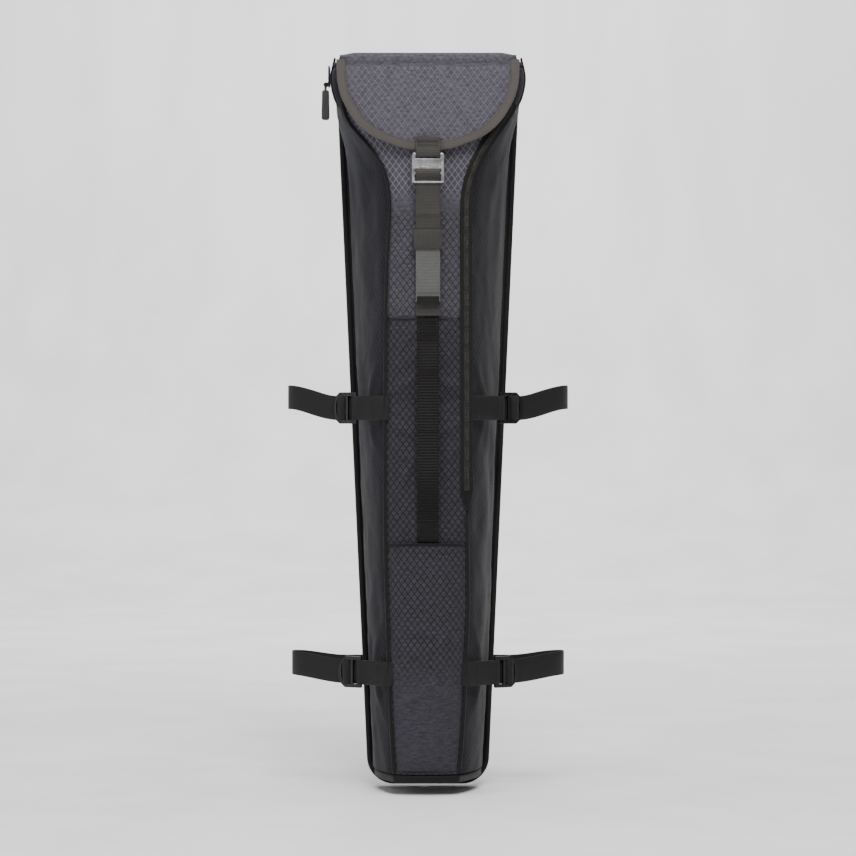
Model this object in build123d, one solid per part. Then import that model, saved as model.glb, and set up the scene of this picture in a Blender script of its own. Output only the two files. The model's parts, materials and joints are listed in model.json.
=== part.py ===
from build123d import *
import math
import os

# A long tapered padded tripod bag with a zipped top, a hooked flap, a webbing handle, a slip
# pocket and four buckled strap loops that tie it to a case. Sizes are in mm. Heights are
# counted from the bottom of the bag; save() then moves the origin to the middle of the back.

# Back of the bag
BAG_HEIGHT = 771.0
BACK_HALF_BOTTOM = 64.5  # half width of the bound back edge, carried down to height 0
BACK_TAPER = 0.0451  # half width gained for each mm of height
BACK_CORNER = 28.0
BACK_BOARD = 4.0  # thickness of the back panel
PAD_DEPTH = 8.0  # the back cushion, whose flat face is Y = 0
PAD_INSET = 16.0
BINDING_WIDTH = 7.0
BINDING_LIP = 1.2
STIFFENER = 3.0
STIFFENER_INSET = 20.0

# Padded body
FRONT_DEPTH = 90.0  # depth of the front seams at height 0
FRONT_LEAN = 0.046  # depth gained for each mm of height
WALL = 8.0
BODY_BOTTOM = 20.5
BODY_TOP = BAG_HEIGHT - 13.5
BASE_THICKNESS = 8.0
GUSSET_BULGE = 8.0
FRONT_BULGE = 6.0
SEAM_GAP = 0.5
CROSS_SEAM = 497.0
PIPING = 3.6
PIPING_NEAR = 1.0
# Height and half width of the front panel, from the base to the head of the bag
SEAM_LINE = [(20.5, 33), (70, 37), (140, 41), (290, 43)]
# The same nearer the head, as drops below the body's top
SEAM_HEAD = [(157.5, 40.5), (123.5, 42), (103.5, 48), (81.5, 62), (57.5, 78), (39.5, 87), (0, 89)]
SEAM_LINE += [(BODY_TOP - fall, half) for fall, half in SEAM_HEAD]

# Zip
TAPE_WIDTH = 13.0
TAPE = 1.2
COIL_WIDTH = 6.0
COIL = 1.6
ZIP_END = 316.0
ZIP_TURN = BODY_TOP - 40.5  # where the zip leaves the front seam for the corner
TAPE_OFFSET = 2.4
GARAGE_HEIGHT = 18.0
CORNER_STAND = 9.2  # how far the zip stands off the side walls where it turns the top corners
CORNER_SETBACK = 13.4  # from the front seam back to the turned zip
CORNER_TAPE = 1.8
SLIDER_RISE = 32.0  # from the zip's turn to the middle of the closed slider
SLIDER_LENGTH = 22.0
SLIDER_WIDTH = 11.0
SLIDER = 2.4
PIN_DROP = 8.0  # the pull's pin below the middle of the slider
PIN_REACH = 5.0
PIN = 0.9
PIN_CLEARANCE = 0.35
PULL_LENGTH = 31.0
PULL_WIDTH = 8.3
PULL = 3.0

# Lid and flap
LID = 5.6
LID_GAP = 0.6
FLAP = 6.0
FLAP_GAP = 2.6  # between the flap and the front panel's bulge
FLAP_BOTTOM = BODY_TOP - 87.5
FLAP_HALF = 93.5
FLAP_BINDING = 9.5
FOLD_GAP = 0.5
# The flap's edge from its top corner to near its lowest point, as shares of width and fall
FLAP_CURVE = [(1.0, 1.0), (0.985, 0.69), (0.92, 0.49), (0.79, 0.3), (0.61, 0.155), (0.34, 0.05)]

# Closure
WEBBING = 25.4
WEB = 1.5
HOOK_LEG = 3.6  # width of the hook's side legs
WEB_SLACK = 0.2  # between webbing and the metal beside it
HOOK_PLATE = 1.6
HOOK_TOP = FLAP_BOTTOM - 2
HOOK_HEIGHT = 13.6
HOOK_OPENING = 6.0  # from the hook's top to the low edge of its opening
HOOK_STEP = 4.6  # height of the notch that clears the frame's arm
TOP_BAR = 0.85  # radius of the hook's round top bar
FRAME_BOTTOM = HOOK_TOP - 31
FRAME_SIDE = 2.6
FRAME_BAR = 1.8
MIDDLE_BAR_RISE = 9.0
MIDDLE_BAR = 2.0
FRAME_GAP = 0.6  # between the hook and the frame it rests on
HOOK_SLACK = 2.2  # how far the hook's lug can rise in the frame's slot
LUG_WIDTH = 9.0
LUG_HEIGHT = 1.6
LUG_DEPTH = 1.3
TAB_TOP = HOOK_TOP + 16
TAIL_END = FRAME_BOTTOM - 124
TAIL_FOLD = 8.0
KEEPER_Z = FRAME_BOTTOM - 59
KEEPER_HEIGHT = 20.0
KEEPER_TRAVEL = 8.0
KEEPER_WALL = 1.1
KEEPER_ROOM = 5.2

# Handle and pocket
HANDLE_WIDTH = 23.0
HANDLE_TOP = 495.0
HANDLE_BOTTOM = 266.0
HANDLE_TACK = 22.0
HANDLE_THICKNESS = 3.0
GRIP_RISE = 6.2
GRIP_RAMP = 28.0  # height over which the grip rises from the bag
POCKET_TOP = 262.0
POCKET_BOTTOM = 24.0
POCKET = 2.5
POCKET_ROOM = 7.0
POCKET_BINDING = 5.0

# Strap loops: height, where they leave the front seam, length of the anchor, reach
STRAP_ROWS = {"upper": (404.0, 36.5, 150.0), "lower": (126.0, 33.0, 146.0)}
STRAP_ANGLE = 30.0
BUCKLE_ARM = 3.2
BUCKLE_SLACK = 0.6  # between the strap's edge and the buckle's arms
BUCKLE_LENGTH = 28.0
BUCKLE = 3.0
BUCKLE_BAR = 1.6
BAR_CLEARANCE = 0.35
SEWN_LAP = 8.0
SEWN_LOOP_Y = -5.6  # depth of the loops' sewn ends, just behind the back's binding

BACK_FACE = -(PAD_DEPTH + BACK_BOARD)  # front side of the back panel
BODY_BACK = BACK_FACE - BINDING_LIP - 0.3  # the walls stop just before the binding
FRAME_Z = BAG_HEIGHT / 2


def mix(low, high, share):
    """A value between two others."""
    return low + (high - low) * share


def save(shape, name):
    """Write one piece, with the origin at the middle of the back cushion's flat face."""
    export_step(Pos(0, 0, -FRAME_Z) * shape, "parts/" + name + ".step")


def back_half(z):
    """Half width of the back's bound edge at a height."""
    return BACK_HALF_BOTTOM + BACK_TAPER * z


def seam_half(z):
    """Half width of the front panel at a height."""
    for (z0, w0), (z1, w1) in zip(SEAM_LINE, SEAM_LINE[1:]):
        if z <= z1:
            return w0 + (w1 - w0) * (z - z0) / (z1 - z0)
    return SEAM_LINE[-1][1]


def seam_y(z):
    """Depth of the front seams at a height."""
    return -(FRONT_DEPTH + FRONT_LEAN * z)


FRONT = Plane(origin=(0, seam_y(0), 0), x_dir=(1, 0, 0), z_dir=(0, -1, -FRONT_LEAN))


def side_half(z, y):
    """The side walls' outer half width at a height and depth."""
    share = (y - BODY_BACK) / (seam_y(z) - BODY_BACK)
    straight = mix(back_half(z) - BINDING_WIDTH - 1, seam_half(z), share)
    return straight + 4 * GUSSET_BULGE * share * (1 - share)


def front_solid(sketch, near, far):
    """A flat piece on the leaning front, between two distances out from the front seams."""
    return extrude(FRONT.offset(near) * sketch, amount=far - near)


def strip(half, bottom, top):
    """A rectangle on the front, centred on the bag's middle."""
    return Pos(0, (bottom + top) / 2) * Rectangle(2 * half, top - bottom)


def back_outline(inset):
    """The back's tapered outline with rounded corners, drawn inward by an amount."""
    low, high = inset, BAG_HEIGHT - inset
    wide_low, wide_high = back_half(low) - inset, back_half(high) - inset
    points = [(-wide_low, low), (wide_low, low), (wide_high, high), (-wide_high, high)]
    outline = make_face(Polyline(points, close=True))
    return fillet(outline.vertices(), BACK_CORNER - min(inset, BACK_CORNER / 2))


def back_solid(sketch, y_front, y_back):
    """A flat piece parallel to the back."""
    plane = Plane(origin=(0, y_back, 0), x_dir=(1, 0, 0), z_dir=(0, -1, 0))
    return extrude(plane * sketch, amount=y_back - y_front)


def wall_section(z, outer, inner):
    """One level of a padded wall, between an outer and an inner arc of three points."""
    plane = Plane.XY.offset(z)
    out_arc = ThreePointArc(*outer)
    in_arc = ThreePointArc(*inner)
    ends = [Line(outer[0], inner[0]), Line(outer[2], inner[2])]
    return plane * make_face([out_arc, in_arc] + ends)


def levels(bottom, top):
    """The heights at which a wall's shape is stated."""
    inside = [z for z, _ in SEAM_LINE if bottom + 8 < z < top - 8]
    return [bottom] + inside + [top]


def gusset(side):
    """A side wall, from the bound back edge to the front seam."""
    sections = []
    for z in levels(BODY_BOTTOM, BODY_TOP):
        back = Vector(back_half(z) - BINDING_WIDTH - 1, BODY_BACK)
        front = Vector(seam_half(z), seam_y(z) + WALL + SEAM_GAP)
        along = (front - back).normalized()
        normal = Vector(-along.Y, along.X)
        middle = (back + front) * 0.5 + normal * GUSSET_BULGE
        outer = [back, middle, front]
        inner = [back - Vector(WALL, 0), middle - normal * WALL, front - Vector(WALL, 0)]
        outer = [(side * p.X, p.Y) for p in outer]
        inner = [(side * p.X, p.Y) for p in inner]
        sections.append(wall_section(z, outer, inner))
    return loft(sections, ruled=True)


def front_panel(bottom, top):
    """A part of the padded front, between two heights."""
    sections = []
    for z in levels(bottom, top):
        half, y = seam_half(z), seam_y(z)
        outer = [(-half, y), (0, y - FRONT_BULGE), (half, y)]
        inner = [(-half, y + WALL), (0, y + WALL - FRONT_BULGE), (half, y + WALL)]
        sections.append(wall_section(z, outer, inner))
    return loft(sections, ruled=True)


def level_outline(z, inset, back_y):
    """The bag's outline seen from above at a height, with its back edge at a chosen depth."""
    back = back_half(z) - BINDING_WIDTH - 1 - inset
    half, y = seam_half(z) - inset, seam_y(z) + inset
    left = ThreePointArc((-back, back_y), (-(back + half) / 2 - GUSSET_BULGE / 2, y / 2), (-half, y))
    front = ThreePointArc((-half, y), (0, y - FRONT_BULGE), (half, y))
    right = ThreePointArc((half, y), ((back + half) / 2 + GUSSET_BULGE / 2, y / 2), (back, back_y))
    return make_face([left, front, right, Line((back, back_y), (-back, back_y))])


def flap_outline(grow):
    """The U-shaped front of the flap, drawn outward by an amount."""
    fall = BODY_TOP + LID_GAP + LID + FOLD_GAP + FLAP - FLAP_BOTTOM
    right = [(x * (FLAP_HALF + grow), FLAP_BOTTOM - grow + z * (fall + grow)) for x, z in FLAP_CURVE]
    left = [(-x, z) for x, z in reversed(right)]
    edge = right + [(0, FLAP_BOTTOM - grow)] + left
    return make_face([Spline(*edge), Line(edge[-1], edge[0])])


def band(points, width):
    """A ribbon of even width along a smooth line."""
    return trace(Spline(*points), width)


def side_solid(sketch, half):
    """A piece whose side view is drawn as distance out from the front seams, then height."""
    plane = Plane(origin=FRONT.origin, x_dir=FRONT.z_dir, z_dir=(-1, 0, 0))
    return extrude(plane * sketch, amount=half, both=True)


def fold(points, thickness):
    """The side view of webbing that follows straight runs."""
    return trace(Polyline(*points), thickness)


os.makedirs("parts", exist_ok=True)

# Back
back_panel = back_solid(back_outline(BINDING_LIP), BACK_FACE, -PAD_DEPTH)
save(back_panel, "back_panel")
ring = back_outline(0) - back_outline(BINDING_WIDTH)
binding = back_solid(ring, BACK_FACE - BINDING_LIP, BINDING_LIP - PAD_DEPTH)
save(binding - back_panel, "back_binding")
save(back_solid(back_outline(PAD_INSET), -PAD_DEPTH, 0), "back_pad")
board = back_solid(back_outline(STIFFENER_INSET), BACK_FACE - STIFFENER, BACK_FACE)
save(board, "back_stiffener")

# Body walls
for side, name in ((-1, "gusset_left"), (1, "gusset_right")):
    save(gusset(side), name)
lower_front = front_panel(BODY_BOTTOM, CROSS_SEAM - SEAM_GAP)
save(lower_front, "front_panel_lower")
save(front_panel(CROSS_SEAM + SEAM_GAP, BODY_TOP), "front_panel_upper")
base_plane = Plane.XY.offset(BODY_BOTTOM - SEAM_GAP - BASE_THICKNESS)
base = level_outline(BODY_BOTTOM, 0, BODY_BACK)
save(extrude(base_plane * base, amount=BASE_THICKNESS), "base_panel")
foot = level_outline(BODY_BOTTOM, WALL + 2, BACK_FACE - STIFFENER - SEAM_GAP)
save(extrude(Plane.XY.offset(BODY_BOTTOM) * foot, amount=BASE_THICKNESS), "foot_pad")

# Seams
heights = levels(BODY_BOTTOM, BODY_TOP)
left_seam = band([(-seam_half(z), z) for z in heights], PIPING)
save(front_solid(left_seam, PIPING_NEAR, PIPING_NEAR + PIPING * 0.7), "piping_left")
low_heights = [z for z in heights if z < ZIP_END - GARAGE_HEIGHT - 8]
low_heights.append(ZIP_END - GARAGE_HEIGHT - 4)
right_seam = band([(seam_half(z), z) for z in low_heights], PIPING)
save(front_solid(right_seam, PIPING_NEAR, PIPING_NEAR + PIPING * 0.7), "piping_right")
cross_half = seam_half(CROSS_SEAM) - TAPE_WIDTH / 2 - 1
cross = strip(cross_half, CROSS_SEAM - 1, CROSS_SEAM + 1)
save(front_solid(cross, FRONT_BULGE + 0.2, FRONT_BULGE + 1.4), "cross_seam")

# Zip
neck = BODY_TOP - SEAM_HEAD[0][0]
zip_heights = [ZIP_END + 4, mix(ZIP_END, neck, 0.3), mix(ZIP_END, neck, 0.65), neck]
zip_heights += [z for z in heights if neck < z < ZIP_TURN]
zip_line = [(seam_half(z), z) for z in zip_heights + [ZIP_TURN]]
tape_top = TAPE_OFFSET + TAPE
save(front_solid(band(zip_line, TAPE_WIDTH), TAPE_OFFSET, tape_top), "zip_tape")
save(front_solid(band(zip_line, COIL_WIDTH), tape_top, tape_top + COIL), "zip_coil")
end_x = seam_half(ZIP_END)
tape_half = TAPE_WIDTH / 2
garage = [(end_x - tape_half, ZIP_END + 3), (end_x, ZIP_END - 3), (end_x + tape_half, ZIP_END + 3)]
garage += [(end_x + tape_half, ZIP_END - 6), (end_x, ZIP_END - GARAGE_HEIGHT)]
garage.append((end_x - tape_half, ZIP_END - 6))
garage_face = make_face(Polyline(garage, close=True))
save(front_solid(garage_face, TAPE_OFFSET, tape_top), "zip_end")
corner_depth = -seam_y(ZIP_TURN + 31) - CORNER_SETBACK - TAPE_WIDTH
corner_reach = side_half(ZIP_TURN, -corner_depth - TAPE_WIDTH / 2) + CORNER_STAND
corner = [(corner_reach - 8, ZIP_TURN), (corner_reach - 2.5, ZIP_TURN + 13)]
corner += [(corner_reach, ZIP_TURN + 31), (corner_reach - 4, ZIP_TURN + 51)]
for side, name in ((-1, "zip_corner_left"), (1, "zip_corner_right")):
    ribbon = band([(side * x, z) for x, z in corner], CORNER_TAPE)
    save(back_solid(ribbon, -corner_depth - TAPE_WIDTH, -corner_depth), name)

# Slider and pull, at the left corner
slider_y = -corner_depth - TAPE_WIDTH / 2
slider_x = -(corner_reach + CORNER_TAPE / 2 + 0.3)
slider_z = ZIP_TURN + SLIDER_RISE
pin_x = slider_x - PIN_REACH
pin_z = slider_z - PIN_DROP
slider = Pos(slider_x - SLIDER / 2, slider_y, slider_z) * Box(SLIDER, SLIDER_WIDTH, SLIDER_LENGTH)
for ear in (-1, 1):
    ear_y = slider_y + ear * (PULL / 2 + 1.4)
    slider += Pos((slider_x - SLIDER + pin_x) / 2 - 0.5, ear_y, pin_z) * Box(PIN_REACH - 0.6, 1.4, 4)
pin_turn = Pos(pin_x, slider_y, pin_z) * Rot(90, 0, 0)
slider += pin_turn * Cylinder(PIN, PULL + 3.6)
save(slider, "zip_slider")
pull = pin_turn * Cylinder(PIN + 1.3, PULL)
pull += Pos(pin_x, slider_y, pin_z - 3.5) * Box(3.0, PULL, 5.5)
grip_tab = Pos(0, pin_z - 6 - PULL_LENGTH / 2) * RectangleRounded(PULL_WIDTH, PULL_LENGTH, 2.5)
pull += Pos(pin_x, 0, 0) * back_solid(grip_tab, slider_y - PULL / 2, slider_y + PULL / 2)
pull -= pin_turn * Cylinder(PIN + PIN_CLEARANCE, PULL * 2)
save(pull, "zip_pull")

# Lid and flap
hinge_gap = BACK_FACE - 2.5
lid = level_outline(BODY_TOP, 0, hinge_gap)
lid_bottom = BODY_TOP + LID_GAP
save(extrude(Plane.XY.offset(lid_bottom) * lid, amount=LID), "lid")
flap_near = FRONT_BULGE + FLAP_GAP
flap_far = flap_near + FLAP
flap_bottom = lid_bottom + LID + FOLD_GAP
flap_top_z = flap_bottom + FLAP
flap_front_y = seam_y(flap_top_z) - flap_near + FOLD_GAP
back_x = back_half(flap_bottom) - BINDING_WIDTH
flap_plan = [(-back_x, hinge_gap), (back_x, hinge_gap)]
flap_plan += [(FLAP_HALF, flap_front_y), (-FLAP_HALF, flap_front_y)]
flap_face = make_face(Polyline(flap_plan, close=True))
save(extrude(Plane.XY.offset(flap_bottom) * flap_face, amount=FLAP), "flap_top")
flap_front = front_solid(flap_outline(0), flap_near, flap_far)
save(flap_front, "flap_front")
trim = flap_outline(BINDING_LIP) - flap_outline(BINDING_LIP - FLAP_BINDING)
trim -= strip(FLAP_HALF * 2, flap_bottom - 1, BAG_HEIGHT + 20)
trim_solid = front_solid(trim, flap_near - BINDING_LIP, flap_far + BINDING_LIP)
save(trim_solid - flap_front, "flap_binding")

# Closure: hook half on the flap, ladder half on a strap sewn into the cross seam
plate_near = flap_far + BINDING_LIP + WEB + 0.6
plate_far = plate_near + HOOK_PLATE
tab_near = flap_far + BINDING_LIP + 0.2
web_half = WEBBING / 2
hook_half = web_half + WEB_SLACK + HOOK_LEG
hook_bottom = HOOK_TOP - HOOK_HEIGHT
opening_low = HOOK_TOP - HOOK_OPENING
tab_back = tab_near + WEB / 2
tab_front = plate_far + 0.4 + WEB / 2
tab_turn = HOOK_TOP - 3.8
tab_path = [(tab_back, TAB_TOP), (tab_back, tab_turn), (tab_front, tab_turn)]
tab_path += [(tab_front, HOOK_TOP + 1), (tab_back + WEB + 0.2, HOOK_TOP + 7)]
tab_path.append((tab_back + WEB + 0.2, TAB_TOP))
save(side_solid(fold(tab_path, WEB), web_half), "closure_tab")
step = hook_bottom + HOOK_STEP
hook = strip(hook_half, hook_bottom, HOOK_TOP)
hook -= strip(hook_half - HOOK_LEG, opening_low, HOOK_TOP + 1)
cut_out = Pos(hook_half, (hook_bottom + step) / 2 - 1)
hook -= cut_out * Rectangle(2 * HOOK_LEG + 0.8, step - hook_bottom + 2)
lug_z = hook_bottom + 3
lug = Pos(0, lug_z) * Rectangle(LUG_WIDTH, LUG_HEIGHT)
hook_solid = front_solid(hook, plate_near, plate_far)
plate_mid = (plate_near + plate_far) / 2
top_bar = Pos(plate_mid, HOOK_TOP - TOP_BAR - 0.55) * Circle(TOP_BAR)
hook_solid += side_solid(top_bar, hook_half - 1)
hook_solid += front_solid(lug, plate_near - LUG_DEPTH, plate_near)
save(hook_solid, "closure_hook")
frame_top = hook_bottom - FRAME_GAP
ladder = strip(hook_half, FRAME_BOTTOM, frame_top)
ladder -= strip(hook_half - FRAME_SIDE, FRAME_BOTTOM + FRAME_BAR, frame_top - FRAME_BAR + 0.2)
arm = Pos(hook_half - HOOK_LEG / 2, (frame_top + step - FRAME_GAP) / 2)
ladder += arm * Rectangle(HOOK_LEG, step - frame_top + FRAME_GAP)
ladder_solid = front_solid(ladder, plate_near, plate_far)
tongue = strip(LUG_WIDTH, frame_top - 1.5, opening_low - 1.0)
slot_low = lug_z - LUG_HEIGHT / 2 - 0.3
slot = strip(LUG_WIDTH / 2 + 0.4, slot_low, slot_low + LUG_HEIGHT + 0.3 + HOOK_SLACK)
ladder_solid += front_solid(tongue - slot, plate_near - 0.3 - LUG_DEPTH, plate_near - 0.3)
ladder_solid += front_solid(strip(LUG_WIDTH, frame_top - 1.5, frame_top), plate_near - 0.5, plate_far)
bar_low = FRAME_BOTTOM + MIDDLE_BAR_RISE
middle_bar = strip(hook_half - 1, bar_low, bar_low + MIDDLE_BAR)
ladder_solid += front_solid(middle_bar, plate_near, plate_far)
save(ladder_solid, "closure_frame")
back_run = plate_near - 3.5
tail_run = plate_near - 1.3
over_run = plate_far + 0.4 + WEB / 2
over_top = bar_low + 4.0
strap_foot = CROSS_SEAM + 2.5
foot_run = FRONT_BULGE + 0.6 + WEB / 2
tail_foot = KEEPER_Z - KEEPER_HEIGHT / 2 - KEEPER_TRAVEL - 1.5
bend = FRAME_BOTTOM - 5
drop = (back_run - foot_run) / (bend - strap_foot)
tail_root = (tail_run - drop * (bend - tail_foot), tail_foot)
strap_path = [(foot_run, strap_foot), (back_run, bend), (back_run, over_top)]
strap_path += [(over_run, over_top), (over_run, bar_low - 1), (tail_run, FRAME_BOTTOM + 3.6)]
strap_path += [(tail_run, bend), tail_root]
save(side_solid(fold(strap_path, WEB), web_half), "closure_strap")
tail_tip = (tail_run - drop * (bend - TAIL_END), TAIL_END)
tail_start = (tail_root[0], tail_foot - 1.0)
tail = side_solid(fold([tail_start, tail_tip], WEB), web_half)
tail_fold = Pos(tail_tip[0] + WEB, TAIL_END + TAIL_FOLD / 2) * Rectangle(2 * WEB, TAIL_FOLD)
tail += side_solid(tail_fold, web_half)
save(tail, "closure_tail")
keeper_slope = math.degrees(math.atan(drop))
keeper_mid = tail_run - drop * (bend - KEEPER_Z) - 1.1
keeper_place = Pos(keeper_mid, KEEPER_Z) * Rot(0, 0, -keeper_slope)
keeper_side = keeper_place * Rectangle(KEEPER_ROOM + 2 * KEEPER_WALL, KEEPER_HEIGHT)
hollow = keeper_place * Rectangle(KEEPER_ROOM, KEEPER_HEIGHT + 9)
keeper_inside = web_half + 2 * WEB_SLACK
keeper_solid = side_solid(keeper_side, keeper_inside + KEEPER_WALL + 0.1)
save(keeper_solid - side_solid(hollow, keeper_inside), "strap_keeper")

# Handle
handle_half = HANDLE_WIDTH / 2
sewn = FRONT_BULGE + 0.3
for low, name in ((HANDLE_TOP - HANDLE_TACK, "handle_upper"), (HANDLE_BOTTOM, "handle_lower")):
    tack = strip(handle_half, low, low + HANDLE_TACK)
    save(front_solid(tack, sewn, sewn + HANDLE_THICKNESS), name)
grip_top = HANDLE_TOP - HANDLE_TACK - FOLD_GAP
grip_low = HANDLE_BOTTOM + HANDLE_TACK + FOLD_GAP
lift = sewn + HANDLE_THICKNESS / 2
grip = [(lift, grip_top), (lift + GRIP_RISE, grip_top - GRIP_RAMP)]
grip += [(lift + GRIP_RISE, grip_low + GRIP_RAMP), (lift, grip_low)]
save(side_solid(fold(grip, HANDLE_THICKNESS), handle_half), "handle_grip")

# Slip pocket, open at the top
wide = seam_half(POCKET_TOP) - 5
narrow = seam_half(POCKET_BOTTOM) - 4
pocket_points = [(-narrow, POCKET_BOTTOM), (narrow, POCKET_BOTTOM), (wide, POCKET_TOP)]
pocket_points.append((-wide, POCKET_TOP))
room_points = [(-narrow + POCKET, POCKET_BOTTOM + POCKET), (narrow - POCKET, POCKET_BOTTOM + POCKET)]
room_points += [(wide - POCKET, POCKET_TOP + 9), (POCKET - wide, POCKET_TOP + 9)]
pocket_far = FRONT_BULGE + POCKET_ROOM + POCKET
pocket = front_solid(make_face(Polyline(pocket_points, close=True)), 0, pocket_far)
pocket -= front_solid(make_face(Polyline(room_points, close=True)), -9, pocket_far - POCKET)
save(pocket - lower_front, "pocket")
mouth = strip(wide - POCKET, POCKET_TOP - POCKET_BINDING, POCKET_TOP)
save(front_solid(mouth, pocket_far + 0.1, pocket_far + 0.1 + TAPE), "pocket_binding")

# Strap sets: a sewn anchor, a buckle that turns on its bar, and a loop of webbing
buckle_height = WEBBING + 2 * (BUCKLE_SLACK + BUCKLE_ARM)
turn = math.radians(STRAP_ANGLE)
out = Vector(math.cos(turn), math.sin(turn))
face = Vector(math.sin(turn), -math.cos(turn))
for row, (height, length, reach) in STRAP_ROWS.items():
    start = Vector(seam_half(height) + 2.6, seam_y(height) + 2.5)
    bar = start + out * length
    sleeve_in = BUCKLE_BAR + BAR_CLEARANCE
    sleeve_out = sleeve_in + WEB
    for side, hand in ((-1, "left"), (1, "right")):
        label = row + "_" + hand
        at = Vector(bar.X, bar.Y)
        run = trace(Line(tuple(start)[:2], tuple(at - out * sleeve_in)[:2]), WEB)
        around = Pos(at.X, at.Y) * (Circle(sleeve_out) - Circle(sleeve_in))
        anchor = extrude(run + around - Pos(at.X, at.Y) * Circle(sleeve_in), web_half, both=True)
        bars = Pos(at.X, at.Y) * Cylinder(BUCKLE_BAR, buckle_height)
        tilt = Rot(0, 0, STRAP_ANGLE)
        rail = Pos(BUCKLE_LENGTH / 2 - BUCKLE_BAR, 0, 0) * Box(BUCKLE_LENGTH, BUCKLE, BUCKLE_ARM)
        buckle = bars
        for end in (-1, 1):
            shift = Pos(0, 0, end * (buckle_height - BUCKLE_ARM) / 2)
            buckle += Pos(at.X, at.Y) * tilt * shift * rail
        for distance, size in ((10.0, 3.0), (17.5, 3.0), (BUCKLE_LENGTH - 3.4, 3.6)):
            bridge = Pos(distance, 0, 0) * Box(size, BUCKLE, buckle_height - 0.4)
            buckle += Pos(at.X, at.Y) * tilt * bridge
        lift_off = -(BUCKLE / 2 + WEB / 2 + 0.2)  # the loop runs behind the buckle
        first = at + out * 8.0 + face * lift_off
        second = at + out * (BUCKLE_LENGTH + 4) + face * lift_off
        third = Vector(reach - 9, second.Y * 0.64)
        fourth = Vector(reach - 0.75, second.Y * 0.38)
        fifth = Vector(reach - 12, -10)
        lap = Vector(back_half(height) + 2, SEWN_LOOP_Y)
        lap_end = Vector(back_half(height) - SEWN_LAP, SEWN_LOOP_Y)
        bends = [tuple(p)[:2] for p in (second, third, fourth, fifth, lap)]
        curve = Spline(*bends, tangents=[tuple(out)[:2], (-1, 0)])
        path = [Line(tuple(first)[:2], bends[0]), curve, Line(bends[-1], tuple(lap_end)[:2])]
        loop = extrude(trace(path, WEB), web_half, both=True)
        for shape, name in ((anchor, "anchor_"), (buckle, "buckle_"), (loop, "loop_")):
            placed = mirror(shape, Plane.YZ) if side < 0 else shape
            save(Pos(0, 0, height) * placed, name + label)
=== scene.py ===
"""A padded tripod bag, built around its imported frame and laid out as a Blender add-on."""

import json
import math

import bpy
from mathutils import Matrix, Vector, noise

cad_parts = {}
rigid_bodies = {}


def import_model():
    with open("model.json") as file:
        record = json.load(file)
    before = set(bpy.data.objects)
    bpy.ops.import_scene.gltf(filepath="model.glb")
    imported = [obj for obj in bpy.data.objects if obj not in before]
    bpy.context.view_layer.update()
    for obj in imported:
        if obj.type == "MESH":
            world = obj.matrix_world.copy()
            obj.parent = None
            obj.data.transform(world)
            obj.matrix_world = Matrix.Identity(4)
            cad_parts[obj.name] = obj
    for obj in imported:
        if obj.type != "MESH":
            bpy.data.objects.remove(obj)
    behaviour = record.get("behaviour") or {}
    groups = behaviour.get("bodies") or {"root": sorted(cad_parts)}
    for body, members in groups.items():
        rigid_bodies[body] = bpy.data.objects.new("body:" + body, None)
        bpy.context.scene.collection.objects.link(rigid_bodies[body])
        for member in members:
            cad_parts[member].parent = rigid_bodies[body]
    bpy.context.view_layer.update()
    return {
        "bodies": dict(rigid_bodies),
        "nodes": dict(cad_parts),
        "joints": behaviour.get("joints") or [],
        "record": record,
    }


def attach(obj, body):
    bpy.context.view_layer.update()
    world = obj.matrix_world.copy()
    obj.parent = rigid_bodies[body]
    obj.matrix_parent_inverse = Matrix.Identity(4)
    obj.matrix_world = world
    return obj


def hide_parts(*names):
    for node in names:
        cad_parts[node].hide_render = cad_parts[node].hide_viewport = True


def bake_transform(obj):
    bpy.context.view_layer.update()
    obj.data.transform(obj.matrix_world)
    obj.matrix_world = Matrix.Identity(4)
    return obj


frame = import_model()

bl_info = {
    "name": "Tripod bag",
    "version": (1, 0, 0),
    "blender": (4, 5, 0),
    "location": "View3D > Sidebar > Bag",
    "description": "Builds the cloth, webbing, zip and buckles of a padded tripod bag",
    "category": "Add Mesh",
}

MM = 0.001
MIDDLE = 385.5  # height of the frame's origin above the bag's bottom, in mm
SEWN_BACK = 64.5  # half width of the back's bound edge at the bottom, in mm
TAPER = 0.0451  # how much wider each half of the back is for each mm of height
FRONT_LOW = 90  # how deep the bag is at the bottom, in mm
LEAN = 0.046  # how much deeper the front is for each mm of height
WALL_LOW, WALL_HIGH = 20.5, 757.5  # where the upright walls start and end
WALL_THICK = 8
EDGE_TAPE = 8  # how far the walls start inside the back's bound edge
# Height and distance from the middle, for each of the two front seams
LEFT_SEAM = [(18, 35.5), (67, 38.5), (140, 41.5), (290, 45), (496, 44), (556, 42.5), (602, 40)]
LEFT_SEAM += [(626, 40.5), (647, 44.5), (664, 53), (682, 67.5), (698, 81), (716, 88), (760, 89)]
RIGHT_SEAM = [(18, 32.5), (67, 36.5), (140, 39.8), (205, 42), (316, 40.5), (403, 40.3), (499, 40)]
RIGHT_SEAM += [(601, 39.7), (626, 41), (647, 46), (673, 58), (694, 71.5), (717, 85.5), (760, 89)]
CROSS_SEAM = 497  # height of the seam between the two front walls
SEWN_FACE = -13.5  # how far forward the walls meet the back panel, in mm
# The flap's rounded front, as shares of its half width and of its height
FLAP_EDGE = [(0.0, 0.0), (0.2, 0.017), (0.34, 0.05), (0.61, 0.155), (0.79, 0.3), (0.92, 0.49)]
FLAP_EDGE += [(0.985, 0.69), (1.0, 1.0)]
FLAP_HALF = 93.5
FLAP_LOW, FLAP_HIGH = 670.0, 770.2
FLAP_OUT = 14.2  # how far the flap's face stands out from the front seams
ANCHOR_ROWS = (404, 126)  # heights of the two rows of side straps
FIBRE_GLOSS = 0.15  # yarn shades itself, so cloth mirrors less than a smooth plastic


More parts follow.
